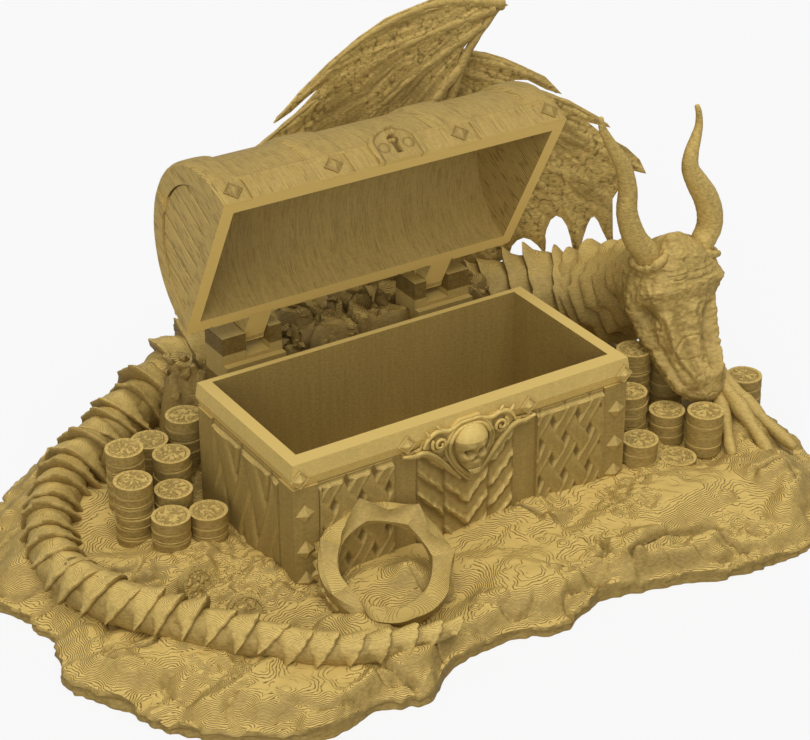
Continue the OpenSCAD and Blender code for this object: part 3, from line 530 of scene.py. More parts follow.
class Nodes:
    """A node tree that is filled in few words."""

    tree: bpy.types.NodeTree

    def add(self, kind: str, settings: Mapping[str, object] | None = None, inputs: Mapping[str | int,
            object] | Sequence[object] = (), out: str | int = 0) -> NodeSocket:
        """Adds a node.

        Args:
            kind: Blender's type name of the node.
            settings: Properties, set first.
            inputs: Values or links by socket, or in the sockets' order.
            out: Name or number of the output wanted.

        Returns:
            The output socket, or the node if it has none.
        """
        node = self.tree.nodes.new(kind)
        for key, value in (settings or {}).items():
            setattr(node, key, value)
        for key, value in inputs.items() if isinstance(inputs, Mapping) else enumerate(inputs):
            target = node.inputs[key]
            if isinstance(value, Num):
                value = value.socket
            if isinstance(value, NodeSocket):
                self.tree.links.new(value, target)
            else:
                target.default_value = value
        return node.outputs[out] if len(node.outputs) else node


class ShaderTree(Nodes):
    """The node tree of one material or world."""

    def __init__(self, owner: Material | bpy.types.World) -> None:
        """Empties the owner's tree."""
        owner.use_nodes = True
        self.tree = owner.node_tree
        self.tree.nodes.clear()

    def along(self, vector: NodeSocket, direction: Point) -> Num:
        """Part of a vector along a direction."""
        return Num(self, self.add("ShaderNodeVectorMath", {"operation": "DOT_PRODUCT"}, (vector, direction),
            "Value"))

    def scaled(self, vector: NodeSocket, scale: Triple) -> NodeSocket:
        """A vector with each of its parts scaled."""
        return self.add("ShaderNodeVectorMath", {"operation": "MULTIPLY"}, (vector, scale))

    def grain(self, vector: NodeSocket, scale: float, detail: float = 2.0) -> Num:
        """Noise from 0 to 1 on a vector."""
        return Num(self, self.add("ShaderNodeTexNoise", None, {"Vector": vector, "Scale": scale,
            "Detail": detail}))


@dataclass(frozen=True)
class PrintFinish:
    """Matte print of one colour, built up in fine layers; its colour carries painted shade that darkens the
    layers' risers into contour lines, and more painted light and shade by facing and place.
    """

    name: str
    tread: tuple[int, int, int] = (212, 180, 103)
    layer: float = 0.2
    stack: Triple = UPWARD
    # Painted shade on the layers' risers, which draws them as contour lines, and on steep walls, which are all
    # riser.
    riser_shade: float = 0.62
    wall_shade: float = 0.30
    # Painted shade on faces that point down, over the span of downward facing given next.
    underside_shade: float = 0.30
    under: Pair = (0.2, 1.0)
    # Painted light on flat faces that look along one direction, lifted over the lit colour.
    plain: Triple = UPWARD
    plain_light: float = 0.0
    # Heights of the chest's rim band, and the painted light on its outer walls.
    band: Triple = (0.0, 0.0, 0.0)
    # Depth from which painted shade darkens all that lies behind the chest's back.
    behind: Pair = (0.0, 0.0)
    wobble: float = 0.14
    line: float = 1.0
    # Painted shade on faces turned towards the middle.
    inside_shade: float = 0.0
    streak: float = 0.0
    streaks: Triple = (1100.0, 1100.0, 50.0)
    dash: float = 0.0
    dashes: Triple = (260.0, 260.0, 2600.0)
    grain: float = 0.22
    # Strength of the painted shade read from the mesh attribute.
    painted_shade_strength: float = 0.55
    roughness: float = 0.62
    specular: float = 0.28
    waver_scale: float = 420.0
    broad_scale: float = 45.0
    broad_share: float = 0.12
    fleck_scale: Triple = (900.0, 900.0, 2300.0)
    # Where the rim band's outer walls begin, along and across the chest.
    chest_x: Pair = (48.2, 48.7)
    chest_y: Pair = (22.5, 23.0)
    # Span over which that painted shade on inner faces fades out.
    inner_x: Pair = (-44.0, -30.0)
    # Strength of the painted shade behind the chest's back.
    behind_shade: float = 0.22
    shade: Triple = (0.18, 0.145, 0.085)
    bump: Pair = (0.25, 0.00012)

    def material(self) -> Material:
        """Builds the finish.

        Returns:
            A material that reads Object coordinates and the attribute of painted shade alone.
        """
        material = bpy.data.materials.new(self.name)
        net = ShaderTree(material)
        place = net.add("ShaderNodeTexCoord", out="Object")
        normal = net.add("ShaderNodeTexCoord", out="Normal")
        flatness = abs(net.along(normal, self.stack))
        slope = (1.0 - flatness * flatness).root()
        waver = net.grain(place, self.waver_scale) - 0.5
        level = (net.along(place, self.stack) / MM + waver * self.wobble) / self.layer
        share = slope / (slope + flatness)
        # Painted shade: each layer's riser is darkened into a contour line, and steep walls by the walls' own
        # amount.
        riser = (1.0 - level.part().step(share * self.line - 0.14, share * self.line + 0.12)) * slope.step(
            0.010, 0.04)
        dark = riser * (self.riser_shade - (self.riser_shade - self.wall_shade) * slope)
        broad = net.grain(place, self.broad_scale, 3.0) - 0.5
        fine = net.grain(net.scaled(place, self.fleck_scale), 1.0) - 0.5
        tone = 1.0 - dark + broad * self.broad_share + fine * self.grain * (0.45 + slope)
        turned = self._turned(net, place)
        for strength, scale, low, high in ((self.streak, self.streaks, 0.30, 0.70), (self.dash, self.dashes,
                0.55, 0.64)):
            if strength:
                lines = net.grain(net.scaled(turned, scale), 1.0)
                tone = tone * (1.0 - lines.step(low, high) * strength)
        # Painted shade on faces that point downwards.
        tone = tone * (1.0 - net.along(normal, (0.0, 0.0, -1.0)).step(*self.under) * self.underside_shade)
        height = net.along(place, UPWARD) / MM
        # Painted light: flat faces that look along the plain direction are set to the lit colour and lifted
        # further; where a band is given, only within it.
        even = net.along(normal, self.plain).step(0.985, 0.998)
        # Painted light on the outer walls of the chest's rim band.
        if self.band[2]:
            low, high, band_light = self.band
            within = height.step(low, low + 0.2) * (1.0 - height.step(high, high + 0.2))
            outer = [abs(net.along(place, way)) / MM for way in (SIDEWAYS, BACKWARD)]
            tone = tone + within * slope * band_light * outer[0].step(*self.chest_x).maths("MAXIMUM",
                outer[1].step(*self.chest_y))
            even = even * within
        tone = tone + even * (1.0 + self.plain_light - tone)
        # Painted shade on faces turned towards the middle, near the ends.
        if self.inside_shade:
            inward = net.along(normal, SIDEWAYS) * net.along(place, SIDEWAYS) / MM
            tone = tone - (1.0 - inward.step(*self.inner_x)) * self.inside_shade
        # Painted shade on all that lies behind the chest's back.
        if self.behind[1]:
            tone = tone - (net.along(place, BACKWARD) / MM).step(*self.behind) * self.behind_shade
        # Painted shade in recesses, read from the mesh attribute; below zero it is painted light.
        painted_shade = Num(net, net.add("ShaderNodeAttribute", {"attribute_name": "painted_shade"}, (), "Fac"))
        tone = tone * (1.0 - painted_shade * self.painted_shade_strength)
        lit = linear(self.tread)
        shade = tuple(c * k for c, k in zip(lit[:3], self.shade)) + (1.0,)
        colour = net.add("ShaderNodeMix", {"data_type": "RGBA", "clamp_factor": False},
            {"Factor": tone, "A": shade, "B": lit}, 2)
        bumps = (level * (2 * math.pi)).maths("SINE") * slope * 0.3 + fine * 1.6
        bent = net.add("ShaderNodeBump", None, {"Strength": self.bump[0], "Distance": self.bump[1],
            "Height": bumps})
        shader = net.add("ShaderNodeBsdfPrincipled", None, {"Base Color": colour, "Roughness": self.roughness,
            "Normal": bent, "Specular IOR Level": self.specular})
        net.add("ShaderNodeOutputMaterial", None, {"Surface": shader})
        return material

    def _turned(self, net: "ShaderTree", place: NodeSocket) -> NodeSocket:
        """Coordinates whose z runs across the layers."""
        turn = Vector(self.stack).rotation_difference(Vector((0, 0, 1))).to_euler()
        return net.add("ShaderNodeMapping", {"vector_type": "POINT"}, {"Vector": place,
            "Rotation": tuple(turn)})


class Finish(Enum):
    """The finishes of this chest, all of one print colour; the tread colour of each is made a little lighter or
    darker as painted light and shade for how that part is lit.
    """

    SAND = PrintFinish("sand_print", tread=(216, 185, 106), riser_shade=0.92, wall_shade=0.68, grain=0.40,
        line=1.55, wobble=0.30)
    CHEST = PrintFinish("chest_print", tread=(222, 192, 112), wall_shade=0.72, streak=0.14, band=(34.1, 41.2,
        0.40), behind=(27.0, 27.4))
    TREASURE = PrintFinish("treasure_print", tread=(214, 184, 106), wall_shade=0.70, grain=0.40)
    DRAGON = PrintFinish("dragon_print", tread=(208, 178, 102), wall_shade=0.52, grain=0.62)
    LID = PrintFinish("lid_print", tread=(199, 169, 96), under=(0.30, 0.74),
        stack=open_direction((0.956, 0.29, 0.0)), wall_shade=0.24, plain=open_direction((0.0, 0.0, -1.0)),
        plain_light=0.54, streak=0.12, streaks=(50.0, 50.0, 1300.0), dash=0.40, dashes=(240.0, 240.0, 5200.0),
        underside_shade=0.78, inside_shade=0.20)


class Workshop:
    """Makes Blender objects of shells and gives them their finish, body and slot."""

    def __init__(self) -> None:
        """Builds each finish once."""
        self.materials = {finish: finish.value.material() for finish in Finish}
        self.slots = {finish: finish.value.name for finish in Finish}

    def piece(self, name: str, shells: Sequence[Shell], finish: Finish, nodes: Sequence[str] = (),
            body: Body = Body.CHEST, sharp: float = 45.0) -> Object:
        """Makes one piece of the model.

        Args:
            name: Name of the piece.
            shells: Its closed shells.
            finish: Its finish.
            nodes: Solids that it stands for.
            body: Body that it moves with.
            sharp: Angle from which an edge looks sharp.

        Returns:
            The object.
        """
        mesh = Shell.joined(shells).to_mesh(name, sharp)
        mesh.materials.append(self.materials[finish])
        return self.settle(bpy.data.objects.new(name, mesh), nodes, body)

    def settle(self, item: Object, nodes: Sequence[str], body: Body) -> Object:
        """Puts an object into the scene, ties it to its body and hides the solids that it stands for."""
        if item.name not in bpy.context.scene.collection.objects:
            bpy.context.scene.collection.objects.link(item)
        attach(item, body.value)
        if nodes:
            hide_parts(*nodes)
        log.info("%s: %d faces, for %s", item.name, len(item.data.polygons), ", ".join(nodes) or "no solid")
        return item

    def dress(self, nodes: Iterable[str], finish: Finish) -> None:
        """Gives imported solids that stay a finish."""
        for node in nodes:
            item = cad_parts[node]
            for k in range(len(item.material_slots)):
                item.material_slots[k].material = self.materials[finish]
            log.info("%s keeps its solid", node)


class GeometryTree(Nodes):
    """A Geometry Nodes tree that repeats shapes."""

    def __init__(self, name: str, inputs: Sequence[tuple[str, str, object]]) -> None:
        """Starts a tree.

        Args:
            name: Name of the tree.
            inputs: Name, socket type and default of each input after the geometry.
        """
        self.tree = bpy.data.node_groups.new(name, "GeometryNodeTree")
        face = self.tree.interface
        face.new_socket("Geometry", in_out="OUTPUT", socket_type="NodeSocketGeometry")
        face.new_socket("Geometry", in_out="INPUT", socket_type="NodeSocketGeometry")
        self.idents = {}
        for label, kind, default in inputs:
            socket = face.new_socket(label, in_out="INPUT", socket_type=kind)
            if default is not None:
                socket.default_value = default
            self.idents[label] = socket.identifier
        self.start = self.tree.nodes.new("NodeGroupInput")
        self.end = self.tree.nodes.new("NodeGroupOutput")

    def given(self, label: str) -> NodeSocket:
        """An input of the tree."""
        return self.start.outputs[label]

    def shape(self, label: str) -> NodeSocket:
        """Geometry of the object given to an input, as it was drawn."""
        return self.add("GeometryNodeObjectInfo", {"transform_space": "ORIGINAL"},
            {"Object": self.given(label)}, "Geometry")

    def spread(self, low: object, high: object) -> NodeSocket:
        """A vector between two others, drawn for each point with the tree's seed."""
        return self.add("FunctionNodeRandomValue", {"data_type": "FLOAT_VECTOR"}, {0: low, 1: high,
            "Seed": self.given("Seed")})

    def turned(self, angles: NodeSocket) -> NodeSocket:
        """Rotation by three angles."""
        return self.add("FunctionNodeEulerToRotation", None, {0: angles})

    def close(self, geometry: NodeSocket, material: Material) -> None:
        """Realizes the instances, sets the material and ends the tree."""
        real = self.add("GeometryNodeRealizeInstances", None, {"Geometry": geometry})
        done = self.add("GeometryNodeSetMaterial", None, {"Geometry": real, "Material": material})
        self.tree.links.new(done, self.end.inputs[0])

    def run(self, carrier: Object, name: str, values: Mapping[str, object], sharp: float = 45.0) -> Object:
        """Runs the tree on a carrier and returns the result as a plain mesh object.

        Args:
            carrier: Object whose geometry goes in; it is removed afterwards.
            name: Name of the result.
            values: Values of the tree's inputs.
            sharp: Angle from which an edge looks sharp.

        Returns:
            The new object, at the origin.
        """
        bpy.context.scene.collection.objects.link(carrier)
        modifier = carrier.modifiers.new("build", "NODES")
        modifier.node_group = self.tree
        for label, value in values.items():
            modifier[self.idents[label]] = value
        graph = bpy.context.evaluated_depsgraph_get()
        mesh = bpy.data.meshes.new_from_object(carrier.evaluated_get(graph), depsgraph=graph)
        mesh.name = name
        mesh.shade_smooth()
        mesh.set_sharp_from_angle(angle=math.radians(sharp))
        carrier.modifiers.remove(modifier)
        bpy.data.objects.remove(carrier, do_unlink=True)
        return bpy.data.objects.new(name, mesh)


def template(name: str, shell: Shell) -> Object:
    """An object that a tree repeats; it never joins the scene."""
    return bpy.data.objects.new(name, shell.to_mesh(name, 45.0))


def dots(name: str, points: Cloud, **values: Cloud) -> Object:
    """A carrier of loose points with vector attributes on them."""
    mesh = bpy.data.meshes.new(name)
    mesh.from_pydata((points * MM).tolist(), [], [])
    for key, rows in values.items():
        mesh.attributes.new(key, "FLOAT_VECTOR", "POINT").data.foreach_set("vector",
            rows.astype(np.float32).ravel())
    return bpy.data.objects.new(name, mesh)


class Scatter:
    """Repeats one shape on points that carry their own turn and size."""

    def __init__(self, material: Material) -> None:
        """Builds the tree."""
        net = GeometryTree("scatter", [("Shape", "NodeSocketObject", None)])
        turn, size = (net.add("GeometryNodeInputNamedAttribute", {"data_type": "FLOAT_VECTOR"}, {"Name": key})
            for key in ("turn", "size"))
        net.close(net.add("GeometryNodeInstanceOnPoints", None, {"Points": net.given("Geometry"),
            "Instance": net.shape("Shape"), "Rotation": net.turned(turn), "Scale": size}), material)
        self.net = net

    def build(self, name: str, shape: Shell, points: Cloud, turns: Cloud, sizes: Cloud | None = None,
            sharp: float = 40.0) -> Object:
        """Repeats a shape.

        Args:
            name: Name of the result.
            shape: Shape to repeat.
            points: Where, in millimetres.
            turns: Euler angles in radians at each point.
            sizes: Scale at each point; 1 if not given.
            sharp: Angle from which an edge looks sharp.

        Returns:
            The mesh object.
        """
        sizes = np.ones((len(points), 3)) if sizes is None else sizes
        carrier = dots(name + "_points", points, turn=turns, size=sizes)
        return self.net.run(carrier, name, {"Shape": template(name + "_shape", shape)}, sharp)


# ---- Base ----

OUTLINE = np.array([(106, -8), (105, 16), (99, 38), (86, 56), (64, 70), (38, 80), (8, 88), (-22, 90),
    (-44, 87), (-66, 75), (-82, 64), (-96, 51), (-108, 34), (-110, 14), (-105, -2), (-109, -22), (-103, -36),
    (-93, -55), (-70, -70), (-54, -68), (-43, -72), (-30, -64), (-12, -62), (0, -66), (16, -61), (36, -66),
    (52, -71), (76, -70), (92, -54), (103, -38), (104, -26)], float)
MOUNDS = [(-57, -20, 3, 10), (-62, -2, 1.5, 14), (-31, -47, -3.4, 8), (-24, -35, 3.4, 4.6),
    (-44, -44, 2.4, 6), (30, -38, 2.5, 18), (60, -40, 2, 14), (-8, -46, 2, 12), (96, -18, 3.5, 12),
    (-30, 52, 8, 16), (10, 60, 9, 22), (52, 48, 8, 18), (-86, 44, 3, 14), (72, 50, 6, 15), (-100, 20, 2, 10),
    (-60, -58, 2, 10), (84, -48, 3, 12), (78, 14, 5, 14), (-70, 60, 4, 14)]


@dataclass
class SandyGround:
    """Rocky base with drifts of sand round the chest."""

    steps: int = 840
    rings: int = 114
    slab: float = 4.0
    sand: float = 3.0
    bump: float = 1.0
    pocket: Pair = (48.6, 22.6)
    pocket_z: float = 6.4
    pebbles: int = 70
    seed: int = 11

    def level(self, x: Cloud, y: Cloud, f: Cloud) -> Cloud:
        """Height of the ground.

        Args:
            x: Place along the chest.
            y: Place front to back.
            f: Share of the way from the middle to the edge.

        Returns:
            Height over the underside of the base.
        """
        waves = self.bump * (0.5 * np.sin(np.radians(9 * x + 40 * np.sin(np.radians(5 * y))))
            + 0.35 * np.cos(np.radians(13 * y - 4 * x)))
        mounds = sum(h * np.exp(-((x - a) ** 2 + (y - b) ** 2) / (r * r)) for a, b, h, r in MOUNDS)
        flat = columns(x, y, 0 * x)
        drifts = columns(x * 0.4, y - 0.25 * x, 0 * x)
        sand = 2.2 * Grain(15, 3).at(flat) + 1.0 * Grain(6, 5).at(drifts) + 0.34 * Grain(2.6, 7, 2).at(flat)
        gravel = smooth(Grain(20, 61).at(flat) + 0.5 * bell(x + 68, y + 2, 18), 0.05, 0.35)
        sand += 1.1 * gravel * Grain(1.8, 62, 2).at(flat)
        rough = smooth(Grain(21, 51).at(flat) + 0.3 * (x > 20) * (y < -30), -0.08, 0.34)
        stone = 3.2 * Grain(7.5, 9, 3).at(drifts) - 1.8 * Grain(10, 13).creases(flat, 0.09)
        stone += 0.9 * np.round(1.6 * Grain(9, 17).at(flat)) / 1.6
        rock = smooth(f, 0.84, 0.97)
        edge = 2.6 * Grain(6.5, 23, 3).at(flat) - 1.8 * Grain(8, 29).creases(flat, 0.12)
        near = np.maximum(np.abs(x) - self.pocket[0], np.abs(y) - self.pocket[1])
        calm = 0.45 + 0.55 * smooth(near, 0, 8)
        height = self.slab + (self.sand + waves + mounds + (sand + rough * stone + rock * edge) * calm)
        fall = smooth(f + 0.02 * Grain(8, 43).at(flat), 0.90, 1.0)
        return height * (1 - 0.55 * fall) + self._stones(x, y) * (1 - 0.5 * fall)

    def _stones(self, x: Cloud, y: Cloud) -> Cloud:
        """Height added by half-buried pebbles."""
        rng = np.random.default_rng(self.seed)
        total = np.zeros(len(x))
        for _ in range(self.pebbles):
            turn, out = rng.uniform(0, 2 * math.pi), rng.uniform(0.55, 0.95)
            radius, tall = rng.uniform(1.2, 3.4), rng.uniform(0.25, 0.55)
            cx, cy = 100 * out * math.cos(turn), 72 * out * math.sin(turn)
            d = np.sqrt((x - cx) ** 2 + ((y - cy) * rng.uniform(0.8, 1.5)) ** 2) / radius
            total = np.maximum(total, tall * radius * arch(d * d))
        return total

    def shell(self) -> Shell:
        """The whole base as one closed shell."""
        edge = spline(OUTLINE, np.arange(self.steps) * len(OUTLINE) / self.steps, closed=True)
        edge3 = columns(edge, np.zeros(self.steps))
        ragged = 1 + 0.014 * Grain(5, 31, 3).at(edge3) + 0.006 * Grain(1.8, 37).at(edge3)
        f = np.linspace(0.2, 1, self.rings)
        grow = 1 + (ragged[None, :] - 1) * smooth(f, 0.9, 1.0)[:, None]
        x = (edge[:, 0] * f[:, None] * grow).ravel()
        y = (edge[:, 1] * f[:, None] * grow).ravel()
        share = np.repeat(f, self.steps)
        z = self.level(x, y, share)
        inside = (np.abs(x) < self.pocket[0]) & (np.abs(y) < self.pocket[1])
        z[inside] = np.minimum(z[inside], self.pocket_z)
        z = np.maximum(z, 1.2)
        rings = list(columns(x, y, z).reshape(self.rings, self.steps, 3))
        top = rings[-1]
        for share_down in (0.25, 0.5, 0.78, 1.0):
            ring = top.copy()
            ring[:, 2] = top[:, 2] * (1 - share_down)
            push = 0.010 * Grain(3.2, 41, 2).at(ring) + 0.004 * math.sin(9 * share_down)
            ring[:, :2] *= (1 + push)[:, None]
            rings.append(ring)
        rings[-1][:, 2] = 0
        return lofted(np.array(rings))

    def build(self, shop: Workshop) -> None:
        """Makes the base."""
        shop.piece("sandy_ground", [self.shell()], Finish.SAND, ["base_terrain"], sharp=60)


@dataclass
class Rubble:
    """Broken rock heaped between and beside the hinge brackets."""

    rocks: tuple = ((-12, 38, 40, 9), (4, 39, 42, 10), (17, 38, 41, 8), (-6, 47, 43, 9), (10, 48, 44, 9),
        (26, 49, 40, 9), (-22, 47, 38, 9), (42, 44, 38, 8), (50, 50, 35, 8), (-39, 51, 35, 8))
    kinds: int = 4
    each: int = 90
    seed: int = 5

    def height(self, x: Cloud, y: Cloud) -> Cloud:
        """Height of the heap under its loose rocks."""
        total = np.zeros(len(x))
        for cx, cy, top, radius in self.rocks:
            d = np.sqrt((x - cx) ** 2 + (y - cy) ** 2) / radius
            total = np.maximum(total, GROUND_Z - 2 + (top - 1 - GROUND_Z) * (1 - smooth(d, 0.55, 1.25)))
        bank = 33.0 * (1 - smooth(np.abs(y - 40), 4, 19)) * (1 - smooth(np.abs(x - 4), 38, 54))
        bank *= 1 - 0.5 * hump(np.abs(x) - BRACKET_X, 8) * (y < 43)
        return np.maximum(total, GROUND_Z - 2 + bank + 3.0 * Grain(6, 19, 2).at(columns(x, y, 0 * x)))

    def core(self) -> Shell:
        """The cracked body of the heap."""
        outline = np.array([(-49, 26.5), (59, 26.5), (59, 58), (36, 60), (0, 59), (-30, 60), (-49, 59)],
            float)
        flat = Flat.inside(straightened(outline, 1.1), 1.1)
        x, y = flat.points[:, 0], flat.points[:, 1]
        spot = columns(x, y, 0 * x)
        height = self.height(x, y)
        cracks = Grain(8, 4).creases(spot, 0.10)
        height += (height > 8) * (2.4 * Grain(7, 9, 2).at(spot) - 3.4 * cracks)
        height -= 12 * bell(x + 12, y - 31, 3.4)
        # Painted shade in the cracks and the pit, and a little all over.
        deep = np.clip(0.3 + cracks + 1.6 * bell(x + 12, y - 31, 3.8), 0, 1.5)
        return flat.raised(np.clip(height, 5.0, 44.5), 4.5, deep)

    def rock(self, kind: int) -> Shell:
        """One broken rock with flat faces.

        Args:
            kind: Number of the rock, which seeds its corners.

        Returns:
            Its convex shell, about 2 mm across.
        """
        rng = np.random.default_rng(100 + kind)
        corner = rng.normal(size=(13, 3))
        corner /= np.linalg.norm(corner, axis=1)[:, None]
        corner *= rng.uniform(0.75, 1.15, (13, 1)) * np.array([1.0, 0.8, 0.65])
        bm = bmesh.new()
        for p in corner:
            bm.verts.new(p)
        made = bmesh.ops.convex_hull(bm, input=bm.verts)
        bmesh.ops.delete(bm, geom=[v for v in made["geom_interior"] if isinstance(v, bmesh.types.BMVert)],
            context="VERTS")
        bm.verts.index_update()
        points = np.array([v.co for v in bm.verts])
        faces = [tuple(v.index for v in f.verts) for f in bm.faces]
        bm.free()
        # Each corner is darkened by a random amount.
        return Shell(points, faces, rng.uniform(0.1, 1.0, len(points)) ** 1.2).outward()

    def build(self, shop: Workshop) -> None:
        """Makes the heap and scatters rocks over it."""
        scatter = Scatter(shop.materials[Finish.SAND])
        rng = np.random.default_rng(self.seed)
        shop.piece("rubble_core", [self.core()], Finish.SAND, ["rubble_mound"], sharp=30)
        for kind in range(self.kinds):
            x, y = rng.uniform(-46, 56, self.each), rng.uniform(28, 57, self.each)
            z = self.height(x, y)
            keep = (z > 12) & (np.abs(np.abs(x) - BRACKET_X) > 9.8)
            points = columns(x, y, z - 0.6)[keep]
            turns = rng.uniform(0, 2 * math.pi, (len(points), 3))
            size = rng.uniform(1.1, 3.0, (len(points), 1)) * np.ones((1, 3))
            points[:, 2] = np.minimum(points[:, 2], 43.5 - size[:, 0])
            item = scatter.build(f"broken_rocks_{kind + 1}", self.rock(kind), points, turns, size, sharp=15)
            shop.settle(item, [], Body.CHEST)


# ---- Treasure ----

@dataclass
class CoinPiles:
    """Stacks of struck coins on both sides of the chest, and two coins half buried in front."""

    left: tuple = ((-69, 27.5, 7, -1.5), (-57.5, 37, 5, -1.5), (-56.6, 26.4, 5, -0.6), (-47, 37.6, 6, -0.6),
        (-72, 17, 6, -1.5), (-61.5, 16, 4, -1), (-67.5, 5.8, 4, -1.3), (-57.2, 5.8, 3, -0.3))
    right: tuple = ((71, 0, 7, -1.5), (81.4, -1.6, 5, -1), (61.6, -10.4, 5, -0.8), (71.6, -14.6, 3, -1.6),
        (76, -25.2, 4, -1.2), (56.4, -22.4, 3, -2), (66, -27, 1, -2.2), (99, -14, 4, -2.4))
    loose: tuple = ((-70.5, -12.5, 1, 62, 20), (-65.5, -28, 0.4, 55, -15))
    diameter: float = 9.8
    thick: float = 3.0
    groove: float = 0.07
    teeth: int = 40

    def edge(self, angle: Cloud, radius: float, milled: float) -> Cloud:
        """Radius with the milled edge cut into it."""
        return radius - milled * (0.5 + 0.5 * np.cos(self.teeth * angle))

    def blank(self) -> Shell:
        """A coin of which only the edge shows."""
        half = self.diameter / 2
        angle = full_turn(96)
        rows = [(half - 0.4, 0.02), (half - self.groove, 0.05), (half, 0.2), (half, 0.62),
            (half - 0.04, 0.70), (half - 0.04, 2.3), (half, 2.38), (half, 2.86), (half - self.groove, 2.97),
            (half - 0.4, 2.99)]
        ring = []
        for k, (radius, z) in enumerate(rows):
            ring.append(circle(self.edge(angle, radius, 0.05 if 3 < k < 6 else 0.0), angle, z))
        return lofted(np.array(ring))

    def face(self, seed: int) -> Shell:
        """The struck top of a pile: a raised border, beads, and a worn rosette.

        Args:
            seed: Seed of the wear.

        Returns:
            A coin whose top stands at its thickness.
        """
        half = self.diameter / 2
        angle = full_turn(96)
        radii = np.array([0.4, 0.8, 1.15, 1.5, 1.8, 2.1, 2.4, 2.7, 3.0, 3.25, 3.5, 3.7, 3.84, 3.98, 4.1, 4.35,
            4.6, 4.8])
        radii = np.append(radii, half - 0.03)
        r, a = np.meshgrid(radii, angle, indexing="ij")
        flat = columns((r * np.cos(a)).ravel(), (r * np.sin(a)).ravel(), np.full(r.size, 0.0))
        wear = Grain(0.62, seed, 2).at(flat).reshape(r.shape)
        rosette = 0.5 + 0.5 * np.cos(6 * a + 1.2 * r)
        relief = 0.34 * smooth(0.45 * rosette * hump(r - 1.7, 1.3) + 1.1 * wear, 0.05, 0.30)
        relief += 0.16 * hump(r - 0.2, 0.6) + 0.12 * hump(r - 3.45, 0.16) * (0.5 + 0.5 * np.cos(32 * a))
        top = self.thick - 0.42 + relief * (r < 3.75)
        rim = smooth(r, 3.75, 3.95)
        top = top * (1 - rim) + rim * (self.thick - 0.02 - 0.22 * (0.5 + 0.5 * np.cos(self.teeth * a))
            * (r < 4.7))
        top = np.where(r > 4.7, self.thick - 0.16, top)
        # Painted shade in the sunk parts of the face within its border.
        painted_shade = np.clip((self.thick - 0.2 - top) / 0.3, 0, 1) * (r < 3.85)
        side = np.array([(half, 2.55), (half - 0.03, 2.2), (half - 0.03, 0.8), (half, 0.45), (half, 0.3),
            (half - self.groove, 0.1), (half - 1.2, 0.05)])
        upper = np.stack([r * np.cos(a), r * np.sin(a), top], axis=2)
        ring = np.concatenate([upper, np.array([circle(reach, angle, z) for reach, z in side])])
        deep = np.concatenate([painted_shade * 1.25, np.zeros((len(side), 96))])
        return lofted(ring, deep)

    def tree(self, material: Material) -> GeometryTree:
        """A pile: a line of blanks, each turned and shifted a little, under one struck coin."""
        net = GeometryTree("coin_pile", [("Blank", "NodeSocketObject", None), ("Struck", "NodeSocketObject",
            None), ("Under", "NodeSocketInt", 3), ("Thickness", "NodeSocketFloat", 0.003),
            ("Slip", "NodeSocketFloat", 0.0002), ("Seed", "NodeSocketInt", 1), ("Foot", "NodeSocketVector",
            (0.0, 0.0, 0.0))])
        rise = net.add("ShaderNodeCombineXYZ", None, {"Z": net.given("Thickness")})
        line = net.add("GeometryNodeMeshLine", {"mode": "OFFSET"}, {"Count": net.given("Under"),
            "Offset": rise})
        back, forth = (net.add("ShaderNodeVectorMath", {"operation": "SCALE"}, {0: (way, way, 0.0),
            "Scale": net.given("Slip")}) for way in (-1.0, 1.0))
        moved = net.add("GeometryNodeSetPosition", None, {"Geometry": line, "Offset": net.spread(back,
            forth)})
        turn = net.turned(net.spread((0.0, 0.0, 0.0), (0.0, 0.0, 6.283)))
        under = net.add("GeometryNodeInstanceOnPoints", None, {"Points": moved,
            "Instance": net.shape("Blank"), "Rotation": turn})
        tall = net.add("ShaderNodeMath", {"operation": "MULTIPLY"}, {0: net.given("Under"),
            1: net.given("Thickness")})
        head = net.add("ShaderNodeCombineXYZ", None, {"Z": tall})
        top = net.add("GeometryNodeTransform", None, {"Geometry": net.shape("Struck"), "Translation": head})
        both = net.add("GeometryNodeJoinGeometry").node
        for part in (under, top):
            net.tree.links.new(part, both.inputs[0])
        net.close(net.add("GeometryNodeTransform", None, {"Geometry": both.outputs[0],
            "Translation": net.given("Foot")}), material)
        return net

    def build(self, shop: Workshop) -> None:
        """Makes each pile and the loose coins."""
        tree = self.tree(shop.materials[Finish.TREASURE])
        blank = template("blank_coin", self.blank())
        for side, piles in (("left", self.left), ("right", self.right)):
            for k, (x, y, count, foot) in enumerate(piles):
                seed = 10 * k + (side == "right")
                struck = template("struck_coin", self.face(seed))
                carrier = bpy.data.objects.new("pile", bpy.data.meshes.new("pile"))
                item = tree.run(carrier, f"coin_pile_{side}_{k + 1}", {"Blank": blank, "Struck": struck,
                    "Under": count - 1, "Thickness": self.thick * MM, "Slip": 0.00016, "Seed": seed,
                    "Foot": (x * MM, y * MM, (GROUND_Z + foot) * MM)}, sharp=35)
                shop.settle(item, [f"coin_stack_{side}_{k + 1}"], Body.CHEST)
        shells = []
        for k, (x, y, z, tilt, turn) in enumerate(self.loose):
            place = tilted((x, y, GROUND_Z + z), tilt, turn)
            start = np.array(place.origin) - np.array(place.out) * self.thick / 2
            coin = self.face(70 + k)
            # Less painted shade on the loose coins.
            coin.painted_shade *= 0.35
            shells.append(coin.moved(replace(place, origin=tuple(start)).put))
        shop.piece("buried_coins", shells, Finish.TREASURE, ["loose_coins"], sharp=35)


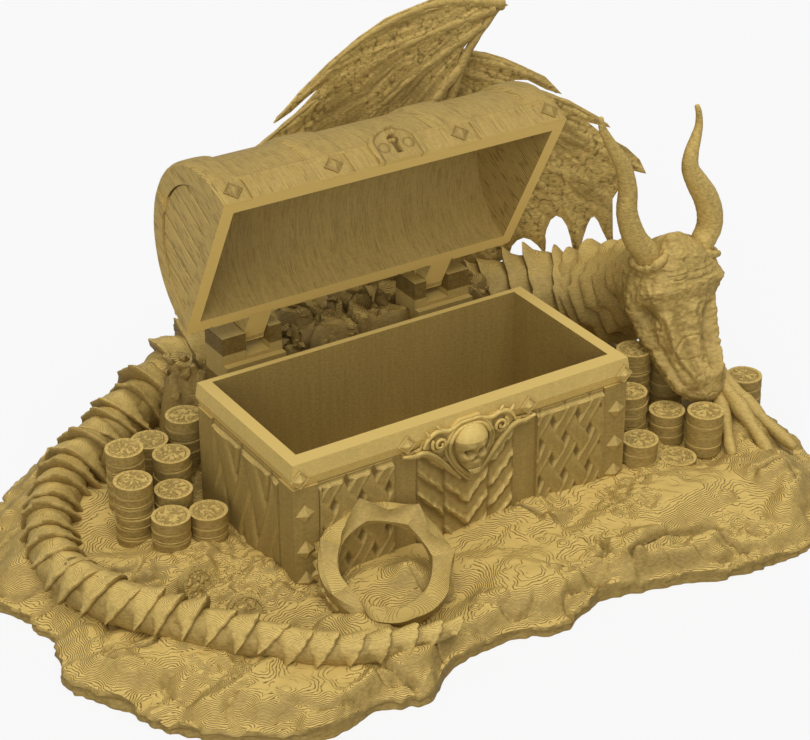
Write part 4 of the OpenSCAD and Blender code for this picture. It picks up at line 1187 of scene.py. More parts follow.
@dataclass
class LeaningRing:
    """Great ring of scooped facets that leans on the chest's front."""

    centre: Triple = (-32.0, -38.0, 16.8)
    lean: float = 33.7
    swing: float = -13.3
    turn: float = 98.5
    facets: int = 7
    bore: float = 11.3
    thick: float = 5.0

    def shell(self) -> Shell:
        """The ring as a closed loop of sections: a funnel inside, a scooped facet outside, a round back."""
        steps = self.facets * 28
        angle = full_turn(steps)
        off = np.abs((angle * self.facets / math.pi) % 2 - 1)

        def blend(middle: float, corner: float, power: float = 2.0) -> Cloud:
            """From a value in the middle of each facet to one at its corners."""
            return middle + (corner - middle) * off ** power

        turned = angle + math.radians(self.turn)
        low, left = smooth(-np.sin(turned), -0.1, 0.75), smooth(-np.cos(turned), 0.45, 0.85)
        reach = blend(13.7, 16.9, 1.5) + low * blend(2.2, -0.55)
        ridge = (reach + (11.9 - reach) * left, blend(-1.7, 0.0, 1.3) + low * blend(1.1, -0.3) - 1.0 * left)
        rows = []
        for t in np.linspace(0, 1, 7):
            sag = 0.35 * math.sin(math.pi * t)
            rows.append((self.bore + 0.15 + (ridge[0] - self.bore - 0.15) * t, blend(-3.7, -2.1) * (1 - t)
                + ridge[1] * t - sag))
        rows += [(np.maximum(blend(15.3, 16.95) - 0.5 * low, ridge[0] + 0.05), blend(-2.5, -0.2, 2.5)
            + low * blend(1.0, -0.4)), (blend(16.5, 16.9, 3) - 0.35 * low, blend(-3.3, -0.6, 2.5)
            + low * blend(0.9, -0.5)), (blend(16.5, 16.7, 3), 0.6 - self.thick), (15.9, -self.thick),
            (self.bore + 0.3, -self.thick), (self.bore, 0.3 - self.thick)]
        ring = np.array([circle(reach, angle, z) for reach, z in rows])
        count = len(rows)
        # Painted shade all over the ring.
        return Shell(ring.reshape(-1, 3), strips(count, count, steps), np.full(count * steps, 0.2)).outward()

    def put(self, points: Cloud) -> Cloud:
        """Points of the ring's own frame, in the shared frame."""
        c, s = cos_sin(self.turn)
        x, y, z = points.T
        return tilted(self.centre, self.lean, self.swing).put(columns(c * x - s * y, s * x + c * y, z))

    def fringe(self) -> Shell:
        """Jagged crust behind the ring's left side."""
        count = 46
        turn = np.radians(np.linspace(70, 215, count)) - math.radians(self.turn)
        rng = np.random.default_rng(3)
        path = circle(15.4, turn, -5.6)
        radius = 1.4 + rng.uniform(-0.5, 1.0, count)
        radius[[0, -1]] = 0.3

        def spikes(share: Cloud, angle: Cloud) -> Cloud:
            """Jags of the crust."""
            return 0.7 * Grain(0.35, 8).at(wrapped(share, angle, 24, 1.0)).reshape(share.shape)

        return tube(self.put(path), radius, 10, swell=spikes)

    def build(self, shop: Workshop) -> None:
        """Makes the ring and its crust."""
        shop.piece("scooped_ring", [self.shell().moved(self.put)], Finish.TREASURE, ["faceted_ring"],
            sharp=28)
        shop.piece("ring_crust", [self.fringe()], Finish.TREASURE, sharp=25)


# ---- Chest ----

@dataclass
class ChestFronts:
    """Plaits, scales, crossed straps and studs on the chest's walls."""

    wall_x: float = 48.8
    wall_y: float = 23.1
    panel_h: float = 28.6
    panel_z: float = 19.3
    braid_w: float = 21.0
    braid_x: float = 31.9
    scale_w: float = 29.0
    end_w: float = 33.2
    post_x: float = 46.5
    proud: float = 1.0
    stud_w: float = 5.2
    stud_h: float = 1.3
    pitch: float = 0.3
    # distance of columns, distance of straps, lean and width of a strap
    braid: tuple[float, ...] = (3.9, 11.1, 26.0, 4.4)
    cross: tuple[float, ...] = (7.4, 25.0, 15.0, 7.6)

    def plait(self, u: Cloud, v: Cloud, column: float, row: float, lean: float, wide: float) -> Cloud:
        """Height of a plait: columns of straps that lean right and left in turn.

        Args:
            u: Place across the panel.
            v: Place up the panel.
            column: Distance between columns.
            row: Distance between straps of one column.
            lean: Angle of the straps from the upright.
            wide: Width of a strap; those that lean right have a rail along both edges.

        Returns:
            Height, 0 in the gaps and about 1 on the straps.
        """
        c, s = cos_sin(lean)
        best = np.zeros(len(u))
        reach = np.abs(u).max() + column
        for k in range(int(-reach / column), int(reach / column) + 1):
            side = 1 if k % 2 == 0 else -1
            for n in range(-3, 4):
                du, dv = u - column * k, v - row * (n + 0.5 * (k % 2))
                along, across = dv * c + side * du * s, du * c - side * dv * s
                along = along / (0.66 * row)
                off = np.abs(across - side * 0.10 * wide * np.sin(math.pi * along)) / (wide / 2)
                body = arch(off ** 4) * (np.abs(along) < 1)
                body *= 1.0 - 0.55 * np.abs(along) ** 2.2
                if side > 0:
                    body *= 0.78 + 0.32 * hump(off - 0.66, 0.20)
                best = np.maximum(best, body)
        return best

    def scales(self, u: Cloud, v: Cloud) -> tuple[Cloud, Cloud]:
        """Height and painted shade of three columns of rolled leaves, each over the one below; the shade lies
        in each leaf's low part and along the seams, with painted light at its rolled edge.
        """
        height = np.zeros(len(u))
        painted_shade = np.zeros(len(u))
        ruffle = 0.10 * Grain(2.2, 21, 2).at(columns(u, v, 0 * u))
        for low, high, rise in ((-14.5, -6.4, -1), (-6.4, 6.8, 0), (6.8, 14.5, 1)):
            middle = (high + low) / 2
            across = np.abs(u - middle) if rise == 0 else rise * (u - middle) + (high - low) / 2
            run = (14.3 - v + 0.95 * across ** 1.04) / 6.5 + ruffle + 0.3 * rise
            q = run % 1.0
            body = 0.16 + 0.34 * q ** 1.5 + 0.5 * hump(q - 0.85, 0.075) - 0.3 * smooth(q, 0.92, 1.0)
            body += 0.10 * np.sin(3.1 * across + 3 * np.floor(run)) * smooth(q, 0.5, 0.8)
            seam = np.minimum(u - low, high - u)
            body *= 0.35 + 0.65 * smooth(seam, 0.0, 1.1)
            within = (u >= low) & (u <= high)
            height = np.where(within, body, height)
            painted_shade = np.where(within, np.maximum(1 - smooth(q, 0.05, 0.42), 1 - smooth(seam, 0.0, 0.7))
                - 0.35 * hump(q - 0.85, 0.1), painted_shade)
        return height, painted_shade

    def panel(self, width: float, place: Place, weave: tuple[float, float, float, float],
            shift: float = 0.0) -> Shell:
        """One panel of plait between two plain edges.

        Args:
            width: Width of the panel.
            place: Where it lies.
            weave: Distance of columns, distance of straps, lean and width of a strap.
            shift: Sideways shift of the pattern.

        Returns:
            The closed relief.
        """
        flat = Flat.rectangle(width, self.panel_h, self.pitch)
        u, v = flat.points.T
        height = self.plait(u + shift, v + shift, *weave)
        margin = smooth(np.abs(u), width / 2 - 0.9, width / 2 - 0.6)
        grain = 0.05 * Grain(0.9, 4, 2).at(columns(u * 3, v, 0 * u))
        # Painted shade in the gaps between the straps.
        painted_shade = 1.35 * (1 - smooth(height, 0.12, 0.58)) * (1 - margin)
        raised = 1.25 * self.proud * np.maximum(height, margin * 0.8) + grain
        raised = np.clip(raised, 0.04, 1.3) * (1 - 0.85 * smooth(v, self.panel_h / 2 - 1.5, self.panel_h / 2
            - 0.8))
        return flat.raised(raised + 0.02, 0.0, painted_shade).moved(place.put)

    def stud(self, bordered: bool = True) -> Shell:
        """A four-sided pyramid, on a thin raised border if wanted."""
        w = self.stud_w / 2
        # Each row holds the share of the width, the height and the painted shade; the plain stud's tip gets
        # painted light.
        rows = ((1.0, -0.6, 0.6), (1.0, 0.1, 0.35), (0.86, 0.3, 0.0), (0.05, 1.1, -0.15))
        if bordered:
            rows = ((1.0, -0.6, 1.0), (1.0, 0.24, 0.9), (0.93, 0.40, 0.0), (0.84, 0.28, 0.9),
                (0.78, 0.22, 0.6), (0.05, 1.0, 0.0))
        rings = []
        for share, z, _ in rows:
            rings.append([(w * share, 0, z * self.stud_h), (0, w * share, z * self.stud_h),
                (-w * share, 0, z * self.stud_h), (0, -w * share, z * self.stud_h)])
        painted_shade = np.repeat(np.array([row[2] for row in rows])[:, None], 4, axis=1)
        return lofted(np.array(rings, float), painted_shade)

    def build(self, shop: Workshop) -> None:
        """Makes the panels and studs."""
        for name, way in (("front", -1), ("back", 1)):
            shells = [self.panel(self.braid_w, facing((s * self.braid_x, way * self.wall_y, self.panel_z), 0,
                way), self.braid, s * 1.4) for s in (-1, 1)]
            shop.piece(f"{name}_plaits", shells, Finish.CHEST, [f"chest_{name}_braids"], sharp=50)
        shells = [self.panel(self.end_w, facing((s * self.wall_x, 0, self.panel_z), s, 0), self.cross, 3.4)
            for s in (-1, 1)]
        shop.piece("end_straps", shells, Finish.CHEST, ["chest_end_straps"], sharp=50)
        flat = Flat.rectangle(self.scale_w, self.panel_h, self.pitch)
        height, painted_shade = self.scales(*flat.points.T)
        height = height * 1.6 * self.proud * (1 - 0.7 * smooth(flat.points[:, 1], 12.8, 13.5))
        place = facing((0, -self.wall_y, self.panel_z), 0, -1)
        shop.piece("scale_panel", [flat.raised(height + 0.1, 0.0, painted_shade * 1.2).moved(place.put)],
            Finish.CHEST, ["chest_scale_panel"], sharp=50)
        self._studs(shop)

    def _studs(self, shop: Workshop) -> None:
        """Repeats the stud on the posts and the rim band."""
        points, turns = [], []
        face = self.wall_y + 0.8
        for s in (-1, 1):
            for share in (0.76, 0.4, 0.1):
                level = 5 + share * self.panel_h
                points += [(s * self.post_x, -face, level), (s * self.post_x, face, level)]
                turns += [(math.pi / 2, 0, 0), (-math.pi / 2, 0, 0)]
        scatter = Scatter(shop.materials[Finish.CHEST])
        item = scatter.build("post_studs", self.stud(False), np.array(points), np.array(turns), sharp=15)
        shop.settle(item, ["chest_studs"], Body.CHEST)
        points = np.array([(s * x, -24.3, 36.94) for s in (-1, 1) for x in (self.post_x + 1.5, 18.0)])
        item = scatter.build("rim_studs", self.stud(), points, np.tile([math.pi / 2, 0, 0], (4, 1)), sharp=15)
        shop.settle(item, [], Body.CHEST)


@dataclass
class Crest:
    """Plain human skull in a pointed oval frame, with scrolls and leaves to the studs beside it."""

    centre: Triple = (0.0, -24.3, 30.6)
    pitch: float = 0.16

    def place(self, out: float = 0.0) -> Place:
        """Where the crest is built, some way out from the wall."""
        return facing((self.centre[0], self.centre[1] - out, self.centre[2]), 0, -1)

    def skull(self) -> Shell:
        """The skull as a deep relief of plain anatomy."""
        turn = np.linspace(0, 2 * math.pi, 90, endpoint=False)
        wide = np.where(np.sin(turn) > 0, 4.7, 4.7 - 1.9 * np.abs(np.sin(turn)) ** 1.6)
        tall = np.where(np.sin(turn) > 0, 5.0, 8.6)
        outline = columns(wide * np.cos(turn), 2.4 + tall * np.sin(turn))
        flat = Flat.inside(outline, self.pitch)
        u, v = flat.points.T
        a = np.abs(u)
        dome = 4.2 * np.sqrt(np.clip(1 - (u / 4.9) ** 2 - ((v - 2.4) / 5.2) ** 2, 0, 1))
        cheeks = 3.7 * arch((a / 4.1) ** 3) * smooth(v, -3.0, -1.2) * (1 - smooth(v, 1.2, 3))
        jaw = 3.3 * arch((a / 2.9) ** 4) * smooth(v, -6.4, -5.4) * (1 - smooth(v, -1.6, 0.2))
        height = np.maximum(np.maximum(dome, cheeks), jaw)
        height += 0.45 * bell((a - 1.7) * 0.8, v - 2.1, 0.8) + 0.5 * bell(a - 2.9, v + 0.7, 0.8)
        height += 0.4 * bell(u * 0.8, v + 5.7, 0.8)
        eyes = bell(a - 1.75, (v - 0.6) * 1.1, 1.05)
        nose = bell(u * (1.5 + 0.4 * v), v + 1.5, 0.62)
        mouth = 0.5 * hump(v + 4.2, 0.22) * (a < 2.2)
        teeth = 0.28 * (0.5 + 0.5 * np.cos(2 * math.pi * u / 0.85)) * (a < 2.2) * hump(v + 4.2, 1.0)
        temple = 0.7 * bell(a - 4.0, v - 0.8, 1.0)
        height = height - 2.6 * eyes - 1.5 * nose - mouth - teeth - temple
        # Painted shade in the eye sockets, nose, mouth, between the teeth and at the temples.
        painted_shade = np.clip(eyes * 1.7 + nose * 1.5 + mouth * 1.4 + teeth + temple * 0.6, 0, 1.5)
        return flat.raised(np.clip(height, 0.3, 6), -0.6, painted_shade).moved(self.place(0.6).put)

    def frame(self) -> list[Shell]:
        """Two beads that follow the pointed oval round the skull."""
        beads = []
        for grow, radius, out in ((0.0, 0.55, 1.1), (1.15, 0.42, 0.8)):
            wide, tall, low = 6.0 + grow, 6.6 + grow, -7.6 - grow * 1.2
            line = [(0, low), (2, low + 2), (4.2, low + 4.6), (wide, 1.2), (wide * 0.86, 4.6),
                (wide * 0.5, tall), (0, tall + 0.4), (-wide * 0.5, tall), (-wide * 0.86, 4.6), (-wide, 1.2),
                (-4.2, low + 4.6), (-2, low + 2), (0, low)]
            path = resampled([(x, y, out) for x, y in line], 0.35)
            path[:, 1] = np.minimum(path[:, 1], 9.2)
            beads.append(tube(self.place().put(path), np.full(len(path), radius), 8))
        return beads

    def side(self, s: int) -> list[Shell]:
        """Volute, arched leaf and swag on one side, over a thin plate.

        Args:
            s: -1 on the left, 1 on the right.

        Returns:
            The closed shells.
        """
        put = self.place().put
        turn = np.linspace(0, 1.7 * 2 * math.pi, 70)
        reach = 2.2 - 1.7 * turn / turn[-1]
        scroll = columns(s * (9.1 - reach * np.cos(turn + 2.4)), 4.2 + reach * np.sin(turn + 2.4),
            1.0 + 0.7 * turn / turn[-1])
        shells = [tube(put(scroll), np.linspace(0.50, 0.34, 70), 8)]
        for thick, line in ((0.62, ((13.6, 4.2), (12.7, 6), (10.9, 7.5), (8.8, 7.8), (6.6, 7.1), (4.6, 7.5),
                (2.6, 8.4))), (0.85, ((19.6, 3.7), (16.6, 2.9), (13.6, 2.9), (10.6, 1), (7.8, -2),
                (5.4, -4.8), (2.8, -7.6))), (0.50, ((11.6, 6.6), (12.4, 7.6), (13, 8.7))),
                (0.45, ((8.6, 7.8), (9.2, 8.6), (9.9, 9.5)))):
            rows = resampled([(s * x, z, 1.0) for x, z in line], 0.4)
            swell = 0.30 + 0.70 * np.sin(np.linspace(0.35, 3.0, len(rows)))
            shells.append(tube(put(rows), thick * swell, 8))
        outline = np.array([(19.4, 3.9), (16.4, 3.5), (13.9, 4), (12.8, 6), (10.9, 7.4), (8.7, 7.7),
            (5.4, 7.2), (4.4, 1), (4.6, -4.4), (7.6, -1.8), (10.4, 1.2), (13.4, 2.8),
            (16.6, 2.8)]) * np.array([s, 1])
        flat = Flat.inside(straightened(outline, 0.3), 0.3)
        u, v = flat.points.T
        folds = 0.16 * np.sin(2.4 * np.hypot(s * u - 9.1, v - 4.2))
        # Painted shade over the plate, deepest in the troughs of its folds.
        shells.append(flat.raised(0.55 + folds, -0.5, 0.75 - 1.6 * folds).moved(put))
        return shells

    def shield(self) -> Shell:
        """The plate behind the skull, hollowed inside its frame."""
        outline = np.array([(0, -8.8), (3, -5.8), (6.6, -1.4), (7.3, 2.6), (6, 6.6), (3, 8.9), (-3, 8.9),
            (-6, 6.6), (-7.3, 2.6), (-6.6, -1.4), (-3, -5.8)], float)
        flat = Flat.inside(straightened(outline, 0.4), 0.4)
        u, v = flat.points.T
        deep = bell(u, (v - 0.6) * 0.8, 4.6)
        # Painted shade in the plate's hollow, deepest in its middle.
        return flat.raised(0.9 - 0.5 * deep, -1.0, deep).moved(self.place().put)

    def build(self, shop: Workshop) -> None:
        """Makes the skull and the scrollwork."""
        shop.piece("plain_skull", [self.skull()], Finish.CHEST, ["crest_skull"], sharp=70)
        shells = [self.shield(), *self.frame(), *self.side(-1), *self.side(1)]
        shop.piece("scrolls_and_frame", shells, Finish.CHEST, ["crest_scrollwork"], sharp=60)


# ---- Lid ----

@dataclass
class LidDetails:
    """Lock plate, end panels and studs of the lid, drawn on the closed lid and turned with it."""

    lid_z: float = 41.1
    half_l: float = 49.3
    vault_r: float = 24.8
    vault_z: float = 43.1
    band: float = 0.9
    lock_w: float = 14.0
    lock_h: float = 10.0

    def lock(self) -> Shell:
        """Round-topped plate with a raised border, keyhole, two rivets and a small scroll."""
        turn = np.linspace(0, math.pi, 40)
        half, tall = self.lock_w / 2, self.lock_w / 3
        top = self.lock_h - tall
        arc = columns(half * np.cos(turn), top + tall * np.sin(turn))
        flat = Flat.inside(straightened(np.concatenate([[(-half, 0), (half, 0)], arc]), 0.3), 0.22)
        u, v = flat.points.T
        out = np.maximum(np.hypot(u, np.maximum(v - top, 0) * 1.5), np.abs(u))
        border = smooth(out, half - 1.5, half - 1.1) * (1 - smooth(out, half - 0.3, half))
        hole = np.maximum(1 - smooth(np.hypot(u, v - 6.0), 1.2, 1.5), (1 - smooth(np.abs(u), 0.65, 0.95))
            * smooth(v, 1.7, 2.0) * (1 - smooth(v, 5.8, 6.2)))
        rivets = np.maximum(0, 1 - np.hypot(np.abs(u) - 3.5, v - 4.0) / 1.25) ** 0.5
        scroll = 0.5 * hump(np.abs(np.hypot(u * 0.8, v - 8.3) - 1.1), 0.35) + 0.3 * bell(u, v - 8.3, 0.5)
        height = 0.62 + 0.45 * border + 0.55 * rivets + scroll * (v > 6.8) - 1.5 * hole
        over = np.maximum(v + self.lid_z - self.vault_z, 0)
        back = -(self.vault_r + self.band - np.sqrt(np.maximum(self.vault_r ** 2 - over ** 2, 0))) - 0.2
        place = facing((0, -self.vault_r - self.band, self.lid_z), 0, -1)
        # Painted shade: a little over the whole plate, deep in the keyhole, and in thin lines at the foot of
        # the border and round the rivets, where nothing is cut.
        groove = hump(out - half + 1.6, 0.22) + hump(np.hypot(np.abs(u) - 3.5, v - 4.0) - 1.45, 0.2)
        return flat.raised(height, back, np.clip(0.2 + 1.3 * hole + 0.9 * groove, 0, 1.3)).moved(
            place.put).moved(opened)

    def end_panel(self, s: int) -> Shell:
        """Arched panel of upright planks, sunk into one end.

        Args:
            s: -1 on the left, 1 on the right.

        Returns:
            The closed relief.
        """
        radius, foot = self.vault_r - 4.95, 3.55
        turn = np.linspace(math.asin((foot - 2) / radius), math.pi - math.asin((foot - 2) / radius), 60)
        outline = columns(radius * np.cos(turn), 2 + radius * np.sin(turn))
        flat = Flat.inside(straightened(outline, 0.5), 0.5)
        u, v = flat.points.T
        plank = np.abs(((u + 20) / 5.6) % 1 - 0.5) * 2
        joint = smooth(plank, 0.88, 0.97)
        grain = 0.08 * Grain(1.0, 15, 2).at(columns(u * 2.4, v * 0.3, 0 * u))
        height = 0.45 + grain - 0.30 * joint
        place = facing((s * (self.half_l - 0.95), 0, self.lid_z), s, 0)
        # Painted shade in the sunk joints between the planks.
        return flat.raised(height, 0.0, joint).moved(place.put).moved(opened)

    def straps(self) -> list[Shell]:
        """Soft straps over the vault: one at each end, two between."""
        turn = np.linspace(0, math.pi, 100)
        line = columns(np.cos(turn), np.sin(turn))
        across = np.linspace(-1, 1, 17)
        shells = []
        for middle, width in ((45.4, 7.8), (18.2, 10.4)):
            for s in (-1, 1):
                rise = self.band * arch(np.abs(across) ** 5)
                reach = self.vault_r + np.concatenate([rise, [-0.4, -0.4]])
                x = s * middle + np.concatenate([across, [0.98, -0.98]]) * width / 2
                ring = np.stack([x[None, :] + 0 * turn[:, None], line[:, :1] * reach, line[:, 1:] * reach
                    + self.vault_z], axis=2)
                soft = 0.16 * Grain(3.5, 33, 2).at(ring.reshape(-1, 3)).reshape(ring.shape[:2])
                ring[:, :, 1:] += (soft * (np.arange(19) < 17))[:, :, None] * line[:, None, :]
                first, last = ring[0].copy(), ring[-1].copy()
                first[:, 2] = self.lid_z + 0.05
                last[:, 2] = self.lid_z + 0.05
                shells.append(lofted(np.concatenate([[first], ring, [last]])).moved(opened))
        x = np.linspace(-49.0, 49.0, 60)
        rise = math.asin((self.lid_z + 6.6 - self.vault_z) / self.vault_r)
        for f in (-1, 1):
            reach = self.vault_r + 0.35
            path = columns(x, 0 * x + f * reach * math.cos(rise), 0 * x + self.vault_z
                + reach * math.sin(rise))
            bead = tube(path, np.full(60, 0.75), 12)
            away = np.hypot(bead.points[:, 1], bead.points[:, 2] - self.vault_z) - self.vault_r
            # Painted shade where the bead meets the vault.
            bead.painted_shade = 1.3 * (1 - smooth(away, 0.0, 0.55)) * (bead.points[:, 2] > self.lid_z + 6.4)
            shells.append(bead.moved(opened))
        return shells

    def tab(self, s: int) -> Shell:
        """Small tab at the crown of an end."""
        ring = []
        for x, grow in ((0.0, 1.0), (0.45, 1.0), (0.6, 0.8)):
            y, z = 1.2 * grow, 1.7 * grow
            middle = self.vault_z + self.vault_r - 2.3
            ring.append([(s * (self.half_l + x), -y, middle - z), (s * (self.half_l + x), y, middle - z),
                (s * (self.half_l + x), y, middle + z), (s * (self.half_l + x), -y, middle + z)])
        return lofted(np.array(ring, float)).moved(opened)

    def build(self, shop: Workshop, stud: Shell) -> None:
        """Makes the lid's details.

        Args:
            shop: Where pieces are made.
            stud: The stud, drawn standing on its flat back.
        """
        shop.piece("lock_plate", [self.lock()], Finish.LID, ["lid_lock_plate"], Body.LID, sharp=50)
        shells = [self.end_panel(s) for s in (-1, 1)] + [self.tab(s) for s in (-1, 1)]
        shop.piece("planked_ends", shells, Finish.LID, ["lid_end_panels"], Body.LID, sharp=50)
        shop.piece("soft_straps", self.straps(), Finish.LID, ["lid_straps"], Body.LID, sharp=40)
        points, turns = [], []
        for x in (self.half_l - 3.8, 18.2):
            for s in (-1, 1):
                for f in (-1, 1):
                    points.append((s * x, f * (self.vault_r + self.band), self.lid_z + 3.2))
                    turns.append((math.radians(-f * 90 - OPEN_ANGLE), 0, 0))
        scatter = Scatter(shop.materials[Finish.LID])
        item = scatter.build("lid_pyramid_studs", stud, opened(np.array(points)), np.array(turns), sharp=15)
        shop.settle(item, ["lid_studs"], Body.LID)


# ---- Dragon ----

NECK = [(82, 8, 36, 8), (87, 20, 25.5, 11), (86, 34, 16.5, 13), (76, 48, 14, 11.8), (58, 58, 13.4, 10.2),
    (36, 64, 14.2, 10.4), (12, 67, 14.2, 11.2), (-10, 70, 12, 11), (-28, 74, 10, 10.5)]
TAIL = [(-28, 74, 10, 10.5), (-38, 71, 6, 9.6), (-50, 65, 4.4, 8.8), (-62, 57.5, 3.6, 8.4), (-73, 49, 3.2, 8),
    (-82.5, 40, 3, 7.6), (-89.5, 30, 3, 7.2), (-94, 19, 3, 7), (-95.5, 8, 3, 6.8), (-93.5, -4, 3, 6.6),
    (-88.5, -14, 3, 6.4), (-83, -23, 2.8, 6), (-76, -33, 2.6, 5.6), (-69, -41.5, 2.4, 5), (-61.5, -49.5, 2,
    4.6), (-53, -55.5, 1.8, 4.2), (-44, -58.5, 1.6, 3.6), (-36, -60, 1.4, 3), (-28.5, -60.5, 1.2, 2)]


def grounded(points: Sequence[Point]) -> Cloud:
    """Points given over the mean ground, in the shared frame."""
    rows = np.array(points, float)
    rows[:, 2] += GROUND_Z
    return rows


class Chain:
    """Repeats one link along a curve, as wide as the curve's own radius."""

    def __init__(self, material: Material) -> None:
        """Builds the tree."""
        net = GeometryTree("chain", [("Link", "NodeSocketObject", None), ("Count", "NodeSocketInt", 20),
            ("Length", "NodeSocketFloat", 0.006), ("Seed", "NodeSocketInt", 1)])
        curve = net.add("GeometryNodeSetCurveNormal", {"mode": "Z_UP"}, {"Curve": net.given("Geometry")})
        cut = net.add("GeometryNodeCurveToPoints", {"mode": "COUNT"},
            {"Curve": curve, "Count": net.given("Count")}).node
        girth = net.add("FunctionNodeRandomValue", {"data_type": "FLOAT"}, {2: 0.90, 3: 1.12,
            "Seed": net.given("Seed")}, 1)
        wide = net.add("ShaderNodeMath", {"operation": "MULTIPLY"}, {0: net.add("GeometryNodeInputRadius"),
            1: girth})
        size = net.add("ShaderNodeCombineXYZ", None, {"X": wide, "Y": wide, "Z": net.given("Length")})
        jolt = net.turned(net.spread((-0.17, -0.17, -0.3), (0.17, 0.17, 0.3)))
        turn = net.add("FunctionNodeRotateRotation", {"rotation_space": "LOCAL"}, {0: cut.outputs["Rotation"],
            1: jolt})
        net.close(net.add("GeometryNodeInstanceOnPoints", None, {"Points": cut.outputs["Points"],
            "Instance": net.shape("Link"), "Rotation": turn, "Scale": size}), material)
        self.net = net

    def build(self, name: str, link: Shell, path: Cloud, count: int, length: float, seed: int) -> Object:
        """Repeats a link.

        Args:
            name: Name of the result.
            link: The link; it runs along z and is one unit round and long.
            path: Rows of x, y, z and radius, in millimetres.
            count: Number of links.
            length: Length that one unit of the link is given, in millimetres.
            seed: Seed of its small turns.

        Returns:
            The mesh object.
        """
        curve = bpy.data.curves.new(name + "_path", "CURVE")
        curve.dimensions = "3D"
        line = curve.splines.new("POLY")
        line.points.add(len(path) - 1)
        for point, row in zip(line.points, path):
            point.co = (*(row[:3] * MM), 1.0)
            point.radius = row[3] * MM
        carrier = bpy.data.objects.new(name + "_path", curve)
        mesh = Shell(link.points * METRE, link.faces, link.painted_shade)
        return self.net.run(carrier, name, {"Link": template(name + "_link", mesh), "Count": count,
            "Length": length * MM, "Seed": seed}, sharp=38)


@dataclass
class DragonBody:
    """Neck, back and tail: a rough body under overlapping plates."""

    # place along the link, radius, share of the lip's growth, painted shade (below zero, painted light on the
    # lip)
    profile: tuple = ((-0.62, 0.78, 0, 0.9), (-0.48, 0.84, 0, 0.9), (-0.38, 0.87, 0.02, 0.6),
        (-0.29, 0.885, 0.04, 0.2), (-0.20, 0.90, 0.07, 0), (-0.08, 0.905, 0.13, 0), (0.06, 0.91, 0.26, 0),
        (0.20, 0.92, 0.45, -0.06), (0.32, 0.93, 0.72, -0.12), (0.42, 0.93, 0.95, -0.16),
        (0.48, 0.93, 1, -0.05), (0.50, 0.90, 0.6, 0.9), (0.44, 0.78, 0, 1.1))
    neck_plates: int = 23
    tail_links: int = 33

    def skin(self, path: Cloud, sides: int, rough: float, seed: int, share: float, dark: float) -> Shell:
        """The body under the plates: its share of the path's radius, and the painted shade it gets under them.
        """
        rows = resampled(path, 0.9)
        run = len(rows) * 0.9

        def swell(along: Cloud, angle: Cloud) -> Cloud:
            """Folds and pits of the skin."""
            spot = columns((along * run).ravel(), (6 * np.cos(angle)).ravel(), (6 * np.sin(angle)).ravel())
            folds = Grain(3.2, seed, 2).at(spot * np.array([1.0, 0.6, 0.6]))
            return rough * (folds - 0.8 * Grain(4.5, seed + 1).creases(spot, 0.14)).reshape(along.shape)

        shell = tube(rows[:, :3], rows[:, 3] * share, sides, swell=swell)
        # Painted shade all over the body under the plates.
        shell.painted_shade = np.full(len(shell.points), dark)
        return shell

    def link(self, crest: float, spikes: float, seed: int, lip: float, narrow: float, dark: float) -> Shell:
        """One plate ring: it rises to a jagged lip that stands over the next.

        Args:
            crest: Height of the ridge on its back.
            spikes: Length of the thorns at its sides.
            seed: Seed of its jags.
            lip: Radius of its lip.
            narrow: How far it has narrowed where it meets its sides.
            dark: Painted shade added all over it; below zero, painted light.

        Returns:
            The link along z, its back towards -y.
        """
        sides = 56
        angle = full_turn(sides)
        spot = columns(2 * np.cos(angle), 2 * np.sin(angle), 0 * angle)
        jag = Grain(0.55, seed, 2).at(spot)
        off = (angle + math.pi / 2 + math.pi) % (2 * math.pi) - math.pi
        back = crest * np.clip(1 - np.abs(off) / 0.5, 0, 1)
        thorn = spikes * np.clip(1 - np.abs(np.abs(off) - 1.85) / 0.55, 0, 1) ** 1.2
        sweep = -0.32 * (1 - np.cos(off)) - 0.2 * thorn
        edge = -0.34 + narrow * np.clip(np.abs(off) / 1.9, 0, 1) ** 1.6
        pit = [1 - smooth(row[0], edge, edge + 0.14) for row in self.profile]
        ring = []
        for (z, r, grow, _), low in zip(self.profile, pit):
            rough = Grain(0.7, seed + 20, 2).at(spot + np.array([0, 0, 3.0 * z]))
            reach = r + grow * (lip - 0.93 + back + thorn + 0.15 * jag) + 0.045 * rough
            reach -= 0.5 * narrow * low * np.clip(np.abs(off) / 1.5, 0, 1) ** 1.5
            ring.append(circle(reach, angle, z + sweep + 0.12 * jag * grow))
        # Painted shade under the lip before it and in the pits at its sides, lighter at its own lip.
        deep = [dark + row[3] + 0.5 * low for row, low in zip(self.profile, pit)]
        return lofted(np.array(ring), np.clip(np.array(deep), -0.35, 1.15))

    def build(self, shop: Workshop) -> None:
        """Makes the neck and the tail with their plates."""
        chain = Chain(shop.materials[Finish.DRAGON])
        neck, tail = grounded(NECK), grounded(TAIL)
        for name, path, *rest in (("neck", neck, 56, 0.9, 61, 0.93, 0.35), ("tail", tail, 40, 0.6, 67, 0.84,
                0.42)):
            shop.piece(f"{name}_skin", [self.skin(path, *rest)], Finish.DRAGON, [f"dragon_{name}"], sharp=50)
        item = chain.build("neck_plates", self.link(0.16, 0.05, 2, 1.06, 0.30, 0.22),
            resampled(neck, 1.0)[2:-4], self.neck_plates, 9.6, 3)
        shop.settle(item, ["dragon_back_plates"], Body.CHEST)
        item = chain.build("tail_plates", self.link(0.10, 0.20, 5, 1.08, 0.80, -0.12),
            resampled(tail, 1.0)[2:-1], self.tail_links, 9.0, 4)
        shop.settle(item, ["dragon_tail_fins"], Body.CHEST)


